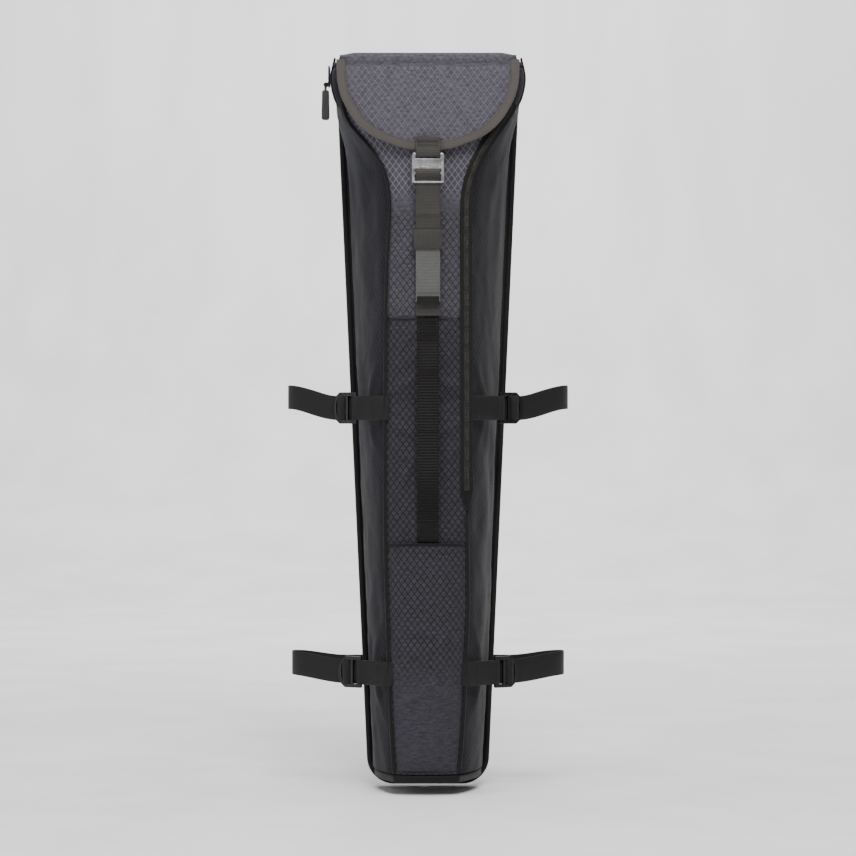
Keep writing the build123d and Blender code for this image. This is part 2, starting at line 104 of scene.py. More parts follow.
# ---- sizes and colours that can be changed in the sidebar ----


def colour(name, value, text):
    return bpy.props.StringProperty(name=name, default=value, description=text)


class BagClothSettings(bpy.types.PropertyGroup):
    # The front and side colours are one cloth given as painted light: the side's is much darker,
    # painted shade on walls turned from the light.
    front: colour("Front cloth", "#3d3b42", "Heather cloth of the flap and front")
    side: colour("Side cloth", "#12111b", "Cloth of the side walls")
    binding: colour("Flap binding", "#4a4543", "Folded tape round the flap")
    edge: colour("Back binding", "#0c0c0b", "Tape round the back panel")
    diamond_width: bpy.props.FloatProperty(
        name="Diamond width", default=6.8 * MM, unit="LENGTH", description="Width of one diamond"
    )
    diamond_height: bpy.props.FloatProperty(
        name="Diamond height", default=9.0 * MM, unit="LENGTH", description="Height of one diamond"
    )


class BagTrimSettings(bpy.types.PropertyGroup):
    webbing: colour("Webbing", "#343230", "Closure webbing")
    strap: colour("Side straps", "#19191a", "Webbing of the side strap loops")
    handle: colour("Handle", "#0c080b", "Ribbed webbing of the handle")
    silver: colour("Closure metal", "#b0b0b1", "Satin metal of the closure")
    gunmetal: colour("Buckle metal", "#2e2e30", "Dark metal of the side buckles")
    web_width: bpy.props.FloatProperty(
        name="Webbing width", default=25.4 * MM, unit="LENGTH", description="Width of the straps"
    )


# ---- geometry of the bag, in mm, with heights counted from its bottom ----


def at(x, y, z):
    """A place in mm, with its height from the bag's bottom, in the frame's metres."""
    return Vector((x, y, z - MIDDLE)) * MM


def eased(table, z):
    """A value read from a table with smooth turns between its rows."""
    rows = [table[0]] + table + [table[-1]]
    for i in range(1, len(rows) - 2):
        if z <= rows[i + 1][0] or i == len(rows) - 3:
            (z0, a0), (z1, a1) = rows[i], rows[i + 1]
            t = min(max((z - z0) / (z1 - z0), 0.0), 1.0)
            before, after = rows[i - 1], rows[i + 2]
            m0 = (a1 - before[1]) / max(z1 - before[0], 1) * (z1 - z0)
            m1 = (after[1] - a0) / max(after[0] - z0, 1) * (z1 - z0)
            s = t * t
            c = s * t
            return (2 * c - 3 * s + 1) * a0 + (c - 2 * s + t) * m0 + (3 * s - 2 * c) * a1 + (c - s) * m1
    return table[-1][1]


def back_half(z):
    return SEWN_BACK + TAPER * z


def seam_y(z):
    return -(FRONT_LOW + LEAN * z)


def seam_x(side, z):
    return side * eased(RIGHT_SEAM if side > 0 else LEFT_SEAM, z)


def mix(a, b, t):
    return a + (b - a) * t


def smooth(t):
    t = min(max(t, 0.0), 1.0)
    return t * t * (3 - 2 * t)


def pinch(distance, reach):
    """How far cloth is drawn in at a seam: 1 at the seam, 0 beyond its reach."""
    return 1 - smooth(distance / reach) if distance < reach else 0.0


def ripple(x, z, size, seed=0.0):
    """Soft uneven waves in cloth, from -1 to 1."""
    return noise.noise(Vector((x / size, z / size, seed)))


def crease(x, z, cx, cz, length, width, degrees):
    """One soft fold, highest along a line through a point."""
    a = math.radians(degrees)
    along = (x - cx) * math.cos(a) + (z - cz) * math.sin(a)
    off = -(x - cx) * math.sin(a) + (z - cz) * math.cos(a)
    return math.exp(-((along / length) ** 2) - (off / width) ** 2)


# ---- modelling helpers ----


def only(obj):
    bpy.ops.object.select_all(action="DESELECT")
    obj.select_set(True)
    bpy.context.view_layer.objects.active = obj


def edit(obj, *steps):
    """Run edit-mode steps on the whole of a mesh."""
    only(obj)
    bpy.ops.object.mode_set(mode="EDIT")
    bpy.ops.mesh.select_all(action="SELECT")
    for operator, settings in steps:
        operator(**settings)
    bpy.ops.object.mode_set(mode="OBJECT")


def modify(obj, kind, **settings):
    """Add a modifier and apply it."""
    only(obj)
    modifier = obj.modifiers.new(kind.title(), kind)
    for key, value in settings.items():
        setattr(modifier, key, value)
    bpy.ops.object.modifier_apply(modifier=modifier.name)


def smooth_shade(obj, degrees=40):
    only(obj)
    bpy.ops.object.shade_smooth_by_angle(angle=math.radians(degrees))


def new_grid(name, across, along):
    bpy.ops.object.select_all(action="DESELECT")
    bpy.ops.mesh.primitive_grid_add(x_subdivisions=across, y_subdivisions=along, size=2)
    obj = bpy.context.object
    obj.name = name
    obj.data.name = name
    return obj


def set_uv(mesh, where):
    """Give each vertex its place on the cloth, so a pattern keeps its real size."""
    layer = mesh.uv_layers.active.data
    for loop in mesh.loops:
        layer[loop.index].uv = where[loop.vertex_index]


def thicken(obj, thick):
    modify(obj, "SOLIDIFY", thickness=thick * MM, offset=-1.0)


def round_edges(obj, width, segments=2):
    settings = {"limit_method": "ANGLE", "angle_limit": 1.0}
    modify(obj, "BEVEL", width=width * MM, segments=segments, **settings)


def grid_step(vertex, across, along):
    """Which column and row of a new grid a vertex is in."""
    return round((vertex.co.x + 1) / 2 * across), round((vertex.co.y + 1) / 2 * along)


def lay(name, across, along, shape, facing=None):
    """A grid laid over a surface: shape(u, v) gives each point, with u and v from -1 to 1."""
    obj = new_grid(name, across, along)
    mesh = obj.data
    spots = {}
    for vertex in mesh.vertices:
        spots[grid_step(vertex, across, along)] = vertex.index
        vertex.co = shape(vertex.co.x, vertex.co.y)
    place = {key: mesh.vertices[index].co for key, index in spots.items()}
    half = across // 2
    up, height = {0: 0.0}, 0.0
    for j in range(1, along + 1):
        height += (place[half, j] - place[half, j - 1]).length
        up[j] = height
    where = {}
    for j in range(along + 1):
        run = [0.0]
        for i in range(1, across + 1):
            run.append(run[-1] + (place[i, j] - place[i - 1, j]).length)
        for i in range(across + 1):
            where[spots[i, j]] = (run[i] - run[half], up[j])
    set_uv(mesh, where)
    mesh.update()
    if facing:
        total = sum((polygon.normal * polygon.area for polygon in mesh.polygons), Vector())
        if total.dot(Vector(facing)) < 0:
            edit(obj, (bpy.ops.mesh.flip_normals, {}))
    return obj


def pad(name, across, along, shape, facing, thick):
    """A padded wall: cloth laid over a surface, thickened inward and rounded at its edges."""
    obj = lay(name, across, along, shape, facing)
    thicken(obj, thick)
    round_edges(obj, 0.8)
    smooth_shade(obj, 50)
    return obj


def section_web(width, thick):
    """A flat strap's section with rounded edges, as (side, out) places in mm."""
    w, t = width / 2, thick / 2
    right = [(w - t, -t), (w - t * 0.2, -t * 0.6), (w, 0), (w - t * 0.2, t * 0.6), (w - t, t)]
    left = [(-x, -y) for x, y in right]
    flat = (w - t) / 3
    top = [(flat, t), (-flat, t)]
    bottom = [(-flat, -t), (flat, -t)]
    return right + top + left + bottom


def section_tape(width, thick):
    """A folded edge tape's section: flat faces that swell a little and round at the fold."""
    w, t = width / 2, thick / 2
    half = [(w, 0), (w * 0.97, t * 0.6), (w * 0.84, t * 0.92), (w * 0.5, t), (0, t * 0.97)]
    half += [(-w * 0.5, t), (-w * 0.84, t * 0.92), (-w * 0.97, t * 0.6)]
    return half + [(-x, -y) for x, y in half]


def section_round(wide, high, count=12):
    """An oval section."""
    turns = [math.tau * i / count for i in range(count)]
    return [(wide / 2 * math.cos(a), high / 2 * math.sin(a)) for a in turns]


def sweep(name, path, section, out=None, closed=False, swell=None):
    """A section carried along a path of places in mm; out is the way its face looks.

    Without out, its side stays along X. swell(mm along) scales its thickness."""
    count, rows = len(section), len(path)
    along = rows if closed else rows - 1
    points = [Vector(p) for p in path]
    obj = new_grid(name, count, along)
    mesh = obj.data
    where = {}
    lengths = [0.0]
    for j in range(1, along + 1):
        lengths.append(lengths[-1] + (points[j % rows] - points[j - 1]).length)
    for vertex in mesh.vertices:
        i, j = grid_step(vertex, count, along)
        here = points[j % rows]
        if closed:
            ahead, behind = points[(j + 1) % rows], points[(j - 1) % rows]
        else:
            ahead, behind = points[min(j + 1, rows - 1)], points[max(j - 1, 0)]
        tangent = (ahead - behind).normalized()
        if out is None:
            side = Vector((1, 0, 0))
        else:
            side = tangent.cross(Vector(out(here) if callable(out) else out)).normalized()
        face = side.cross(tangent).normalized()
        s, o = section[i % count]
        o *= swell(lengths[j]) if swell else 1.0
        spot = here + side * s + face * o
        vertex.co = at(*spot)
        where[vertex.index] = (s * MM, lengths[j] * MM)
    set_uv(mesh, where)
    steps = [(bpy.ops.mesh.remove_doubles, {"threshold": 1e-6})]
    if not closed:
        steps.append((bpy.ops.mesh.fill_holes, {"sides": 0}))
    steps.append((bpy.ops.mesh.normals_make_consistent, {"inside": False}))
    edit(obj, *steps)
    smooth_shade(obj, 50)
    return obj


def curve_points(points, count):
    """Places along a smooth line through a few points."""
    pts = [Vector(p) for p in points]
    pts = [pts[0] * 2 - pts[1]] + pts + [pts[-1] * 2 - pts[-2]]
    spans = len(pts) - 3
    found = []
    for k in range(count + 1):
        s = k / count * spans
        i = min(int(s), spans - 1)
        t = s - i
        a, b, c, d = pts[i : i + 4]
        found.append(0.5 * (2 * b + (c - a) * t + (2 * a - 5 * b + 4 * c - d) * t * t
                            + (3 * b - a - 3 * c + d) * t * t * t))
    return found


def choose(obj, kind):
    """Set the kind of element to be chosen in code, with none of them chosen yet."""
    only(obj)
    bpy.ops.object.mode_set(mode="EDIT")
    bpy.ops.mesh.select_mode(type=kind)
    bpy.ops.mesh.select_all(action="DESELECT")
    bpy.ops.object.mode_set(mode="OBJECT")


def plate(name, xs, zs, holes, depth, thick, bevel=0.45, corners=()):
    """A flat metal piece cut in cells between lines of x and z, with some cells left open."""
    nx, nz = len(xs) - 1, len(zs) - 1
    obj = new_grid(name, nx, nz)
    for vertex in obj.data.vertices:
        i, j = grid_step(vertex, nx, nz)
        vertex.co = Vector((xs[i], 0.0, zs[j]))
    choose(obj, "FACE")
    for polygon in obj.data.polygons:
        centre = polygon.center
        i = sum(1 for x in xs[1:] if centre.x > x)
        j = sum(1 for z in zs[1:] if centre.z > z)
        polygon.select = (i, j) in holes
    bpy.ops.object.mode_set(mode="EDIT")
    if holes:
        bpy.ops.mesh.delete(type="FACE")
    bpy.ops.mesh.select_all(action="SELECT")
    bpy.ops.mesh.extrude_region_move(TRANSFORM_OT_translate={"value": (0, thick, 0)})
    bpy.ops.mesh.select_all(action="SELECT")
    bpy.ops.mesh.normals_make_consistent(inside=False)
    bpy.ops.object.mode_set(mode="OBJECT")
    for x, z, radius in corners:
        choose(obj, "EDGE")
        for item in obj.data.edges:
            ends = [obj.data.vertices[k].co for k in item.vertices]
            item.select = all(abs(e.x - x) < 0.01 and abs(e.z - z) < 0.01 for e in ends)
        bpy.ops.object.mode_set(mode="EDIT")
        bpy.ops.mesh.bevel(offset=radius, segments=6, affect="EDGES")
        bpy.ops.object.mode_set(mode="OBJECT")
    modify(obj, "BEVEL", width=bevel, segments=3, limit_method="ANGLE", angle_limit=0.7)
    for vertex in obj.data.vertices:
        vertex.co = depth(vertex.co)
    edit(obj, (bpy.ops.mesh.normals_make_consistent, {"inside": False}))
    smooth_shade(obj, 40)
    return obj


def front(x, z, out):
    """A place on the leaning front, a distance out from the front seams."""
    return (x, seam_y(z) - out, z)


def joined(name, pieces):
    """Several pieces made one object."""
    bpy.ops.object.select_all(action="DESELECT")
    for piece in pieces:
        piece.select_set(True)
    bpy.context.view_layer.objects.active = pieces[0]
    bpy.ops.object.join()
    pieces[0].name = name
    return pieces[0]


def stitches(name, path, out, pitch, length, thick=0.5):
    """A row of thread stitches along a path of places in mm."""
    points = [Vector(p) for p in path]
    total, marks = 0.0, []
    next_mark = pitch / 2
    for a, b in zip(points, points[1:]):
        span = (b - a).length
        while next_mark <= total + span:
            marks.append((a.lerp(b, (next_mark - total) / span), (b - a).normalized()))
            next_mark += pitch
        total += span
    bpy.ops.object.select_all(action="DESELECT")
    bpy.ops.mesh.primitive_uv_sphere_add(segments=6, ring_count=4, radius=1)
    seed = bpy.context.object
    edit(seed, (bpy.ops.transform.resize, {"value": (thick / 2, thick / 2, length / 2)}))
    shape = [v.co.copy() for v in seed.data.vertices]
    pieces = []
    for spot, way in marks:
        copy = seed.copy()
        copy.data = seed.data.copy()
        bpy.context.collection.objects.link(copy)
        face = Vector(out(spot) if callable(out) else out)
        side = way.cross(face).normalized()
        for vertex, co in zip(copy.data.vertices, shape):
            vertex.co = at(*(spot + side * co.x + face * co.y + way * co.z))
        pieces.append(copy)
    bpy.data.objects.remove(seed)
    row = joined(name, pieces)
    smooth_shade(row, 80)
    return row


# ---- materials ----


def linear(code):
    """An sRGB hex value as linear colour."""
    parts = [int(code[i : i + 2], 16) / 255 for i in (1, 3, 5)]
    return [c / 12.92 if c <= 0.04045 else ((c + 0.055) / 1.055) ** 2.4 for c in parts] + [1.0]


def shade(code, factor):
    """A darker or lighter version of a colour."""
    return [min(c * factor, 1.0) for c in linear(code)[:3]] + [1.0]


def add(tree, kind, inputs=None, **settings):
    """A node with its settings, its values and its links."""
    item = tree.nodes.new(kind)
    for key, value in settings.items():
        setattr(item, key, value)
    for key, value in (inputs or {}).items():
        if isinstance(value, bpy.types.NodeSocket):
            tree.links.new(value, item.inputs[key])
        else:
            item.inputs[key].default_value = value
    return item


def surface(name, **values):
    """A new material and its shader, with uniform values set on the shader's own sockets."""
    material = bpy.data.materials.new(name)
    material.use_nodes = True
    shader = material.node_tree.nodes["Principled BSDF"]
    for key, value in values.items():
        shader.inputs[key.replace("_", " ")].default_value = value
    return material, material.node_tree, shader


def number(tree, operation, a, b=0.0):
    return add(tree, "ShaderNodeMath", {0: a, 1: b}, operation=operation).outputs[0]


def weighed(tree, one, other):
    """Two values added, each times its weight."""
    parts = [number(tree, "MULTIPLY", value, weight) for value, weight in (one, other)]
    return number(tree, "ADD", *parts)


def graded(tree, value, low, high, to_low=0.0, to_high=1.0):
    settings = {"Value": value, "From Min": low, "From Max": high, "To Min": to_low, "To Max": to_high}
    return add(tree, "ShaderNodeMapRange", settings, interpolation_type="SMOOTHSTEP").outputs[0]


def blended(tree, factor, a, b):
    return add(tree, "ShaderNodeMix", {0: factor, 6: a, 7: b}, data_type="RGBA").outputs[2]


def raised(tree, shader, height, depth_mm, strength=1.0):
    settings = {"Height": height, "Distance": depth_mm * MM, "Strength": strength}
    bump = add(tree, "ShaderNodeBump", settings)
    tree.links.new(bump.outputs[0], shader.inputs["Normal"])


def grain(tree, vector, across, along, detail=2.0):
    """Noise whose grains are this many mm wide and tall."""
    scale = (1 / (across * MM), 1 / (along * MM), 1.0)
    sized = add(tree, "ShaderNodeMapping", {"Vector": vector, "Scale": scale}).outputs[0]
    return add(tree, "ShaderNodeTexNoise", {"Vector": sized, "Scale": 1.0, "Detail": detail}).outputs[0]


def lattice_cloth(
    name, base, thread_painted_light_low, thread_painted_light_high, heights, strength=1.0, width=(0.03, 0.09), fade=(0, 1)
):
    """Polyester ripstop: heather yarn that looks soft, crossed by a raised diamond grid.

    The grid's threads go from one colour to another between two heights of the bag, a painted
    highlight where the shiny threads catch the light and painted shade where they turn away; the grid
    fades out below fade."""
    material, tree, shader = surface(
        name, Roughness=0.72, Specular_IOR_Level=FIBRE_GLOSS, Sheen_Weight=0.08
    )
    settings = bpy.context.scene.bag_cloth
    places = add(tree, "ShaderNodeTexCoord")
    uv = places.outputs["UV"]
    split = add(tree, "ShaderNodeSeparateXYZ", {0: uv})
    across = number(tree, "DIVIDE", split.outputs[0], settings.diamond_width)
    along = number(tree, "DIVIDE", split.outputs[1], settings.diamond_height)
    one = number(tree, "PINGPONG", number(tree, "ADD", across, along), 0.5)
    other = number(tree, "PINGPONG", number(tree, "SUBTRACT", across, along), 0.5)
    nearest = number(tree, "MINIMUM", one, other)
    line = graded(tree, nearest, *width, 1.0, 0.0)
    fine = grain(tree, uv, 1.6, 0.35, 3.0)
    broad = grain(tree, uv, 9.0, 2.2)
    heather = weighed(tree, (fine, 0.65), (broad, 0.35))
    yarn = blended(tree, graded(tree, heather, 0.36, 0.64), shade(base, 0.52), shade(base, 1.5))
    height = add(tree, "ShaderNodeSeparateXYZ", {0: places.outputs["Object"]}).outputs[2]
    low, high = [(z - MIDDLE) * MM for z in heights]
    # Painted light on the threads: their colour changes between two heights, a painted highlight where
    # they face the light and painted shade where they turn away.
    thread = blended(tree, graded(tree, height, low, high), thread_painted_light_low, thread_painted_light_high)
    worn = number(tree, "MULTIPLY", line, graded(tree, fine, 0.25, 0.6, 0.45 * strength, strength))
    start, end = [(z - MIDDLE) * MM for z in fade]
    worn = number(tree, "MULTIPLY", worn, graded(tree, height, start, end, 0.12, 1.0))
    tree.links.new(blended(tree, worn, yarn, thread), shader.inputs["Base Color"])
    raised(tree, shader, weighed(tree, (worn, 0.7), (fine, 0.5)), 0.35, 0.8)
    return material


def woven_strap(name, base, pitch, depth, contrast=0.25, sheen=0.1, rough=0.6):
    """Woven nylon webbing: close ribs across its width, each with a painted highlight, and worn yarn.
    """
    material, tree, shader = surface(
        name, Roughness=rough, Specular_IOR_Level=FIBRE_GLOSS, Sheen_Weight=sheen
    )
    uv = add(tree, "ShaderNodeTexCoord").outputs["UV"]
    split = add(tree, "ShaderNodeSeparateXYZ", {0: uv})
    rib = number(tree, "PINGPONG", number(tree, "DIVIDE", split.outputs[1], pitch * MM), 0.5)
    rib = graded(tree, rib, 0.05, 0.45)
    yarn = grain(tree, uv, 0.8, 3.5, 2.0)
    cloudy = grain(tree, uv, 14.0, 24.0)
    tone = weighed(tree, (rib, 0.5), (yarn, 0.5))
    drift = number(tree, "MULTIPLY", number(tree, "SUBTRACT", cloudy, 0.5), 0.5)
    tone = number(tree, "ADD", tone, drift)
    # The rib tops are painted lighter and the furrows darker, as painted highlight and painted shade on
    # top of the bump.
    light, dark = shade(base, 1 + contrast), shade(base, 1 - contrast * 1.6)
    tone = blended(tree, graded(tree, tone, 0.2, 0.8), dark, light)
    tree.links.new(tone, shader.inputs["Base Color"])
    height = number(tree, "ADD", rib, number(tree, "MULTIPLY", yarn, 0.35))
    raised(tree, shader, height, depth)
    return material


def satin_metal(name, base, rough, metallic=1.0):
    """Cast zinc alloy, tumbled and plated: satin, with faint brushing and small scuffs."""
    material, tree, shader = surface(name, Metallic=metallic)
    spot = add(tree, "ShaderNodeTexCoord").outputs["Object"]
    brushed = grain(tree, spot, 9.0, 0.5, 3.0)
    scuff = grain(tree, spot, 2.2, 2.2, 4.0)
    worn = graded(tree, brushed, 0.3, 0.7, rough - 0.07, rough + 0.09)
    tree.links.new(worn, shader.inputs["Roughness"])
    tone = blended(tree, graded(tree, scuff, 0.35, 0.65), shade(base, 0.88), shade(base, 1.08))
    tree.links.new(tone, shader.inputs["Base Color"])
    raised(tree, shader, scuff, 0.05, 0.5)
    return material


def zip_coil_material():
    """Moulded nylon coil: close round turns, each with a painted glint."""
    material, tree, shader = surface("nylon_coil_moulded", Roughness=0.45, Specular_IOR_Level=0.3)
    split = add(tree, "ShaderNodeSeparateXYZ", {0: add(tree, "ShaderNodeTexCoord").outputs["UV"]})
    turn = number(tree, "PINGPONG", number(tree, "DIVIDE", split.outputs[1], 1.9 * MM), 0.5)
    turn = graded(tree, turn, 0.06, 0.44)
    middle = graded(tree, number(tree, "ABSOLUTE", split.outputs[0]), 0.1 * MM, 0.7 * MM)
    both = number(tree, "MULTIPLY", turn, middle)
    # The middle of each turn is painted lighter, as a painted glint.
    tone = blended(tree, both, linear("#040403"), linear("#2b2622"))
    tree.links.new(tone, shader.inputs["Base Color"])
    raised(tree, shader, both, 0.6)
    return material


def air_mesh():
    """Knitted spacer mesh: soft black net with small round holes in rows."""
    material, tree, shader = surface(
        "spacer_mesh_knitted", Roughness=0.85, Specular_IOR_Level=FIBRE_GLOSS, Sheen_Weight=0.2
    )
    uv = add(tree, "ShaderNodeTexCoord").outputs["UV"]
    net = {"Vector": uv, "Scale": 1 / (3.2 * MM), "Randomness": 0.35}
    cells = add(tree, "ShaderNodeTexVoronoi", net).outputs["Distance"]
    hole = graded(tree, cells, 0.18, 0.42)
    # The holes are painted darker than the net, as painted shade inside them.
    tone = blended(tree, hole, linear("#0b0b0c"), linear("#2a2a2e"))
    tree.links.new(tone, shader.inputs["Base Color"])
    raised(tree, shader, hole, 0.8)
    return material


def plain_moulded(name, base, rough, grain_mm=0.6):
    """Moulded rubber or plastic with a fine matte texture and slightly uneven tone."""
    material, tree, shader = surface(name, Roughness=rough)
    spot = add(tree, "ShaderNodeTexCoord").outputs["Object"]
    fine = grain(tree, spot, grain_mm, grain_mm, 3.0)
    broad = grain(tree, spot, 12.0, 12.0)
    tone = blended(tree, graded(tree, broad, 0.3, 0.7), shade(base, 0.85), shade(base, 1.15))
    tree.links.new(tone, shader.inputs["Base Color"])
    raised(tree, shader, fine, 0.1, 0.6)
    return material


MATERIALS = {}


def material(name):
    """A material by its short name, made once."""
    if not MATERIALS:
        cloth, trim = bpy.context.scene.bag_cloth, bpy.context.scene.bag_trim
        # pale is the threads' painted highlight; dark is their own black.
        pale, dark = linear("#77747e"), linear("#08080a")
        lattice = (0.055, 0.11)
        MATERIALS.update({
            # The flap is a lighter copy of the front cloth, as painted light from above; its threads
            # are pale with a painted highlight, and dark along the top strip where it curves away, as
            # painted shade.
            "flap": lattice_cloth(
                "heather_ripstop_flap_painted_light", "#444249", pale, dark, (754, 760), 0.62, (0.01, 0.07)
            ),
            # The upper front's threads are dark below and pale above, a painted highlight where the
            # front catches more light.
            "front": lattice_cloth(
                "heather_ripstop_front_painted_light", cloth.front, dark, pale, (600, 640), 0.85, (0.03, 0.1)
            ),
            # The lower front and the pocket are darker copies of the same cloth, as painted shade.
            "lower": lattice_cloth(
                "heather_ripstop_lower_painted_shade", "#2b2a30", dark, dark, (0, 1), 1.0, lattice
            ),
            "pocket": lattice_cloth(
                "heather_ripstop_pocket_painted_shade", "#2e2d33", dark, dark, (0, 1), 1.0, lattice, (95, 150)
            ),
            # The side walls are a much darker copy of the same cloth, as painted shade on walls turned
            # from the light; their threads get lighter higher up as a painted highlight.
            "side": lattice_cloth(
                "ripstop_side_painted_shade", cloth.side, linear("#040406"), linear("#1c1c26"), (560, 700),
                0.9, lattice,
            ),
            "back": lattice_cloth(
                "ripstop_back", "#18181c", linear("#09090b"), linear("#09090b"), (0, 1), 0.5
            ),
            "binding": woven_strap("grosgrain_tape_woven", cloth.binding, 0.9, 0.15, 0.08),
            "edge": woven_strap("back_tape_woven", cloth.edge, 1.4, 0.2, 0.2),
            "webbing": woven_strap("nylon_webbing_woven", trim.webbing, 1.5, 0.18, 0.12),
            # The tail is a lighter copy of the closure webbing.
            "tail": woven_strap("nylon_webbing_lighter_tail", "#50504f", 1.5, 0.18, 0.12),
            "strap": woven_strap("polyester_strap_woven", trim.strap, 1.3, 0.15, 0.1, 0.05, 0.5),
            "handle": woven_strap("nylon_ribbed_handle_woven", trim.handle, 3.0, 0.9, 0.45),
            "tape": woven_strap("zip_tape_woven", "#080a09", 1.1, 0.15, 0.15),
            "coil": zip_coil_material(),
            "silver": satin_metal("zinc_satin_plated", trim.silver, 0.36),
            "gunmetal": satin_metal("zinc_black_plated", trim.gunmetal, 0.33, 0.85),
            "rubber": plain_moulded("rubber_moulded", "#131314", 0.5),
            "board": plain_moulded("polythene_sheet_extruded", "#1b1b1c", 0.45),
            "foam": plain_moulded("eva_foam_cut", "#232325", 0.8, 1.4),
            "mesh": air_mesh(),
            "thread": woven_strap("polyester_thread_twisted", "#252427", 0.5, 0.1, 0.1),
        })
    return MATERIALS[name]


def finish(obj, look, body, nodes=()):
    """Give a piece its material and body, and hide the frame's nodes that it stands for."""
    obj.data.materials.clear()
    obj.data.materials.append(material(look))
    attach(obj, body)
    if nodes:
        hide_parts(*nodes)
    return obj


def keep(node, look):
    """A frame node that stays as it is gets a better material."""
    obj = bpy.data.objects[node]
    for entry in obj.material_slots:
        entry.material = material(look)


# ---- pieces ----


# How far out the cloth reaches at a height, under the zip's corner turn
ZIP_CORNER = [(714, 91.4), (717, 92.8), (730, 98.2), (748, 100.6), (768, 96.6)]
CORNER_Y = -104.5  # how far forward the zip's corner turns and its slider are
PIN = (-106.8, CORNER_Y, 741)  # the pin that the zip's pull swings on


def corner_swell(z, y, x):
    """How far the cloth bulges under the zip where it turns a top corner."""
    if z < 700:
        return 0.0
    near = math.exp(-(((y - CORNER_Y) / 21) ** 2)) * smooth((y + 128) / 12)
    return max(eased(ZIP_CORNER, z) - x, 0.0) * near * smooth((z - 700) / 16)


class BAG_OT_front(bpy.types.Operator):
    """The two padded front walls, with a sewn seam between them"""

    bl_idname = "bag.front"
    bl_label = "Front walls"

    # Height, place across and tilt in degrees of the loose folds
    FOLDS = (
        (560, -26, 64), (540, 27, -70), (470, -24, 58), (448, -27, 40), (330, -24, 66), (345, 27, -80),
    )

    def wall(self, name, low, high, rows):
        def shape(u, v):
            z = mix(low, high, (v + 1) / 2)
            left, right = seam_x(-1, z), seam_x(1, z)
            x = mix(left, right, (u + 1) / 2)
            edge = min(x - left, right - x)
            out = 6.0 * (1 - abs(u) ** 2.6) - 0.8 * pinch(edge, 9)
            out -= 2.2 * pinch(abs(z - CROSS_SEAM), 14)
            loose = min(edge / 16, 1.0)
            for row, lean in zip(ANCHOR_ROWS, (24, 20)):
                for side in (-1, 1):
                    foot = (right if side > 0 else left) * 0.78
                    out += 2.6 * loose * crease(x, z, foot, row + 20, 24, 5, side * -lean)
                    out -= 2.0 * loose * crease(x, z, foot, row + 8, 24, 5, side * (lean - 8))
                    out += 2.8 * loose * crease(x, z, foot, row - 18, 26, 5, side * lean)
                    out += 2.2 * loose * crease(x, z, foot, row - 40, 22, 5, side * (lean + 24))
            for cz, cx, tilt in self.FOLDS:
                out += 1.9 * loose * crease(x, z, cx, cz, 34, 5, tilt)
            out += 1.1 * loose * ripple(x, z, 30, 3) + 0.5 * loose * ripple(x, z, 11, 8)
            return at(*front(x, z, out))

        return pad(name, 44, rows, shape, (0, -1, 0), WALL_THICK)

    def execute(self, context):
        upper = self.wall("front_upper", CROSS_SEAM + 0.4, WALL_HIGH, 110)
        finish(upper, "front", "bag", ["front_panel_upper"])
        # The lower wall takes the darker copy of the cloth, as painted shade.
        lower = self.wall("front_lower", WALL_LOW, CROSS_SEAM - 0.4, 190)
        finish(lower, "lower", "bag", ["front_panel_lower"])
        path = []
        left, right = seam_x(-1, CROSS_SEAM) + 4, seam_x(1, CROSS_SEAM) - 8
        for i in range(33):
            x = mix(left, right, i / 32)
            u = 2 * i / 32 - 1
            path.append(front(x, CROSS_SEAM, 6.0 * (1 - abs(u) ** 2.6) - 1.2))
        seam = sweep("front_seam", path, section_round(2.4, 1.8), (0, -1, -LEAN))
        finish(seam, "thread", "bag", ["cross_seam"])
        return {"FINISHED"}


class BAG_OT_sides(bpy.types.Operator):
    """The padded side walls, from the bound back edge to the front seams"""

    bl_idname = "bag.sides"
    bl_label = "Side walls"

    def execute(self, context):
        for side, name in ((-1, "left"), (1, "right")):
            def shape(u, v, side=side):
                z = mix(WALL_LOW, WALL_HIGH, (v + 1) / 2)
                back = Vector((back_half(z) - EDGE_TAPE, SEWN_FACE))
                seam = Vector((abs(seam_x(side, z)), seam_y(z)))
                t = (u + 1) / 2
                along = (seam - back).normalized()
                normal = Vector((-along.y, along.x))
                if normal.x < 0:
                    normal = -normal
                depth = (seam - back).length
                edge = min(t, 1 - t) * depth
                out = 8.0 * (1 - abs(2 * t - 1) ** 2.2) - 0.6 * pinch(edge, 7)
                loose = min(edge / 14, 1.0)
                out += 1.8 * loose * ripple(t * depth, z * 0.45, 24, 5 * side)
                out += 0.6 * loose * ripple(t * depth, z, 11, 2 * side)
                for row in ANCHOR_ROWS:
                    out += 1.6 * loose * crease(t * depth, z, depth * 0.75, row + 26, 26, 6, 62)
                    out += 1.6 * loose * crease(t * depth, z, depth * 0.75, row - 26, 26, 6, -62)
                spot = back.lerp(seam, t) + normal * out
                spot.x += corner_swell(z, spot.y, spot.x)
                return at(side * spot.x, spot.y, z)

            wall = pad(f"side_{name}", 26, 180, shape, (side, 0, 0), WALL_THICK)
            # The side walls take the darkest copy of the cloth, as painted shade.
            finish(wall, "side", "bag", [f"gusset_{name}"])
        return {"FINISHED"}


def level_spot(u, v, z, inset, back_y):
    """A place on the bag's plan at a height, with u across and v from back to front."""
    t = (v + 1) / 2
    back = back_half(z) - EDGE_TAPE - inset
    side = 1 if u > 0 else -1
    half = abs(seam_x(side, z)) - inset
    wide = mix(back, half, t) + 6 * 4 * t * (1 - t)
    deep = mix(back_y, seam_y(z) + inset - 6 * (1 - u * u), t)
    if inset == 0:
        wide += corner_swell(z, deep, wide)
    return Vector((u * wide, deep, z))


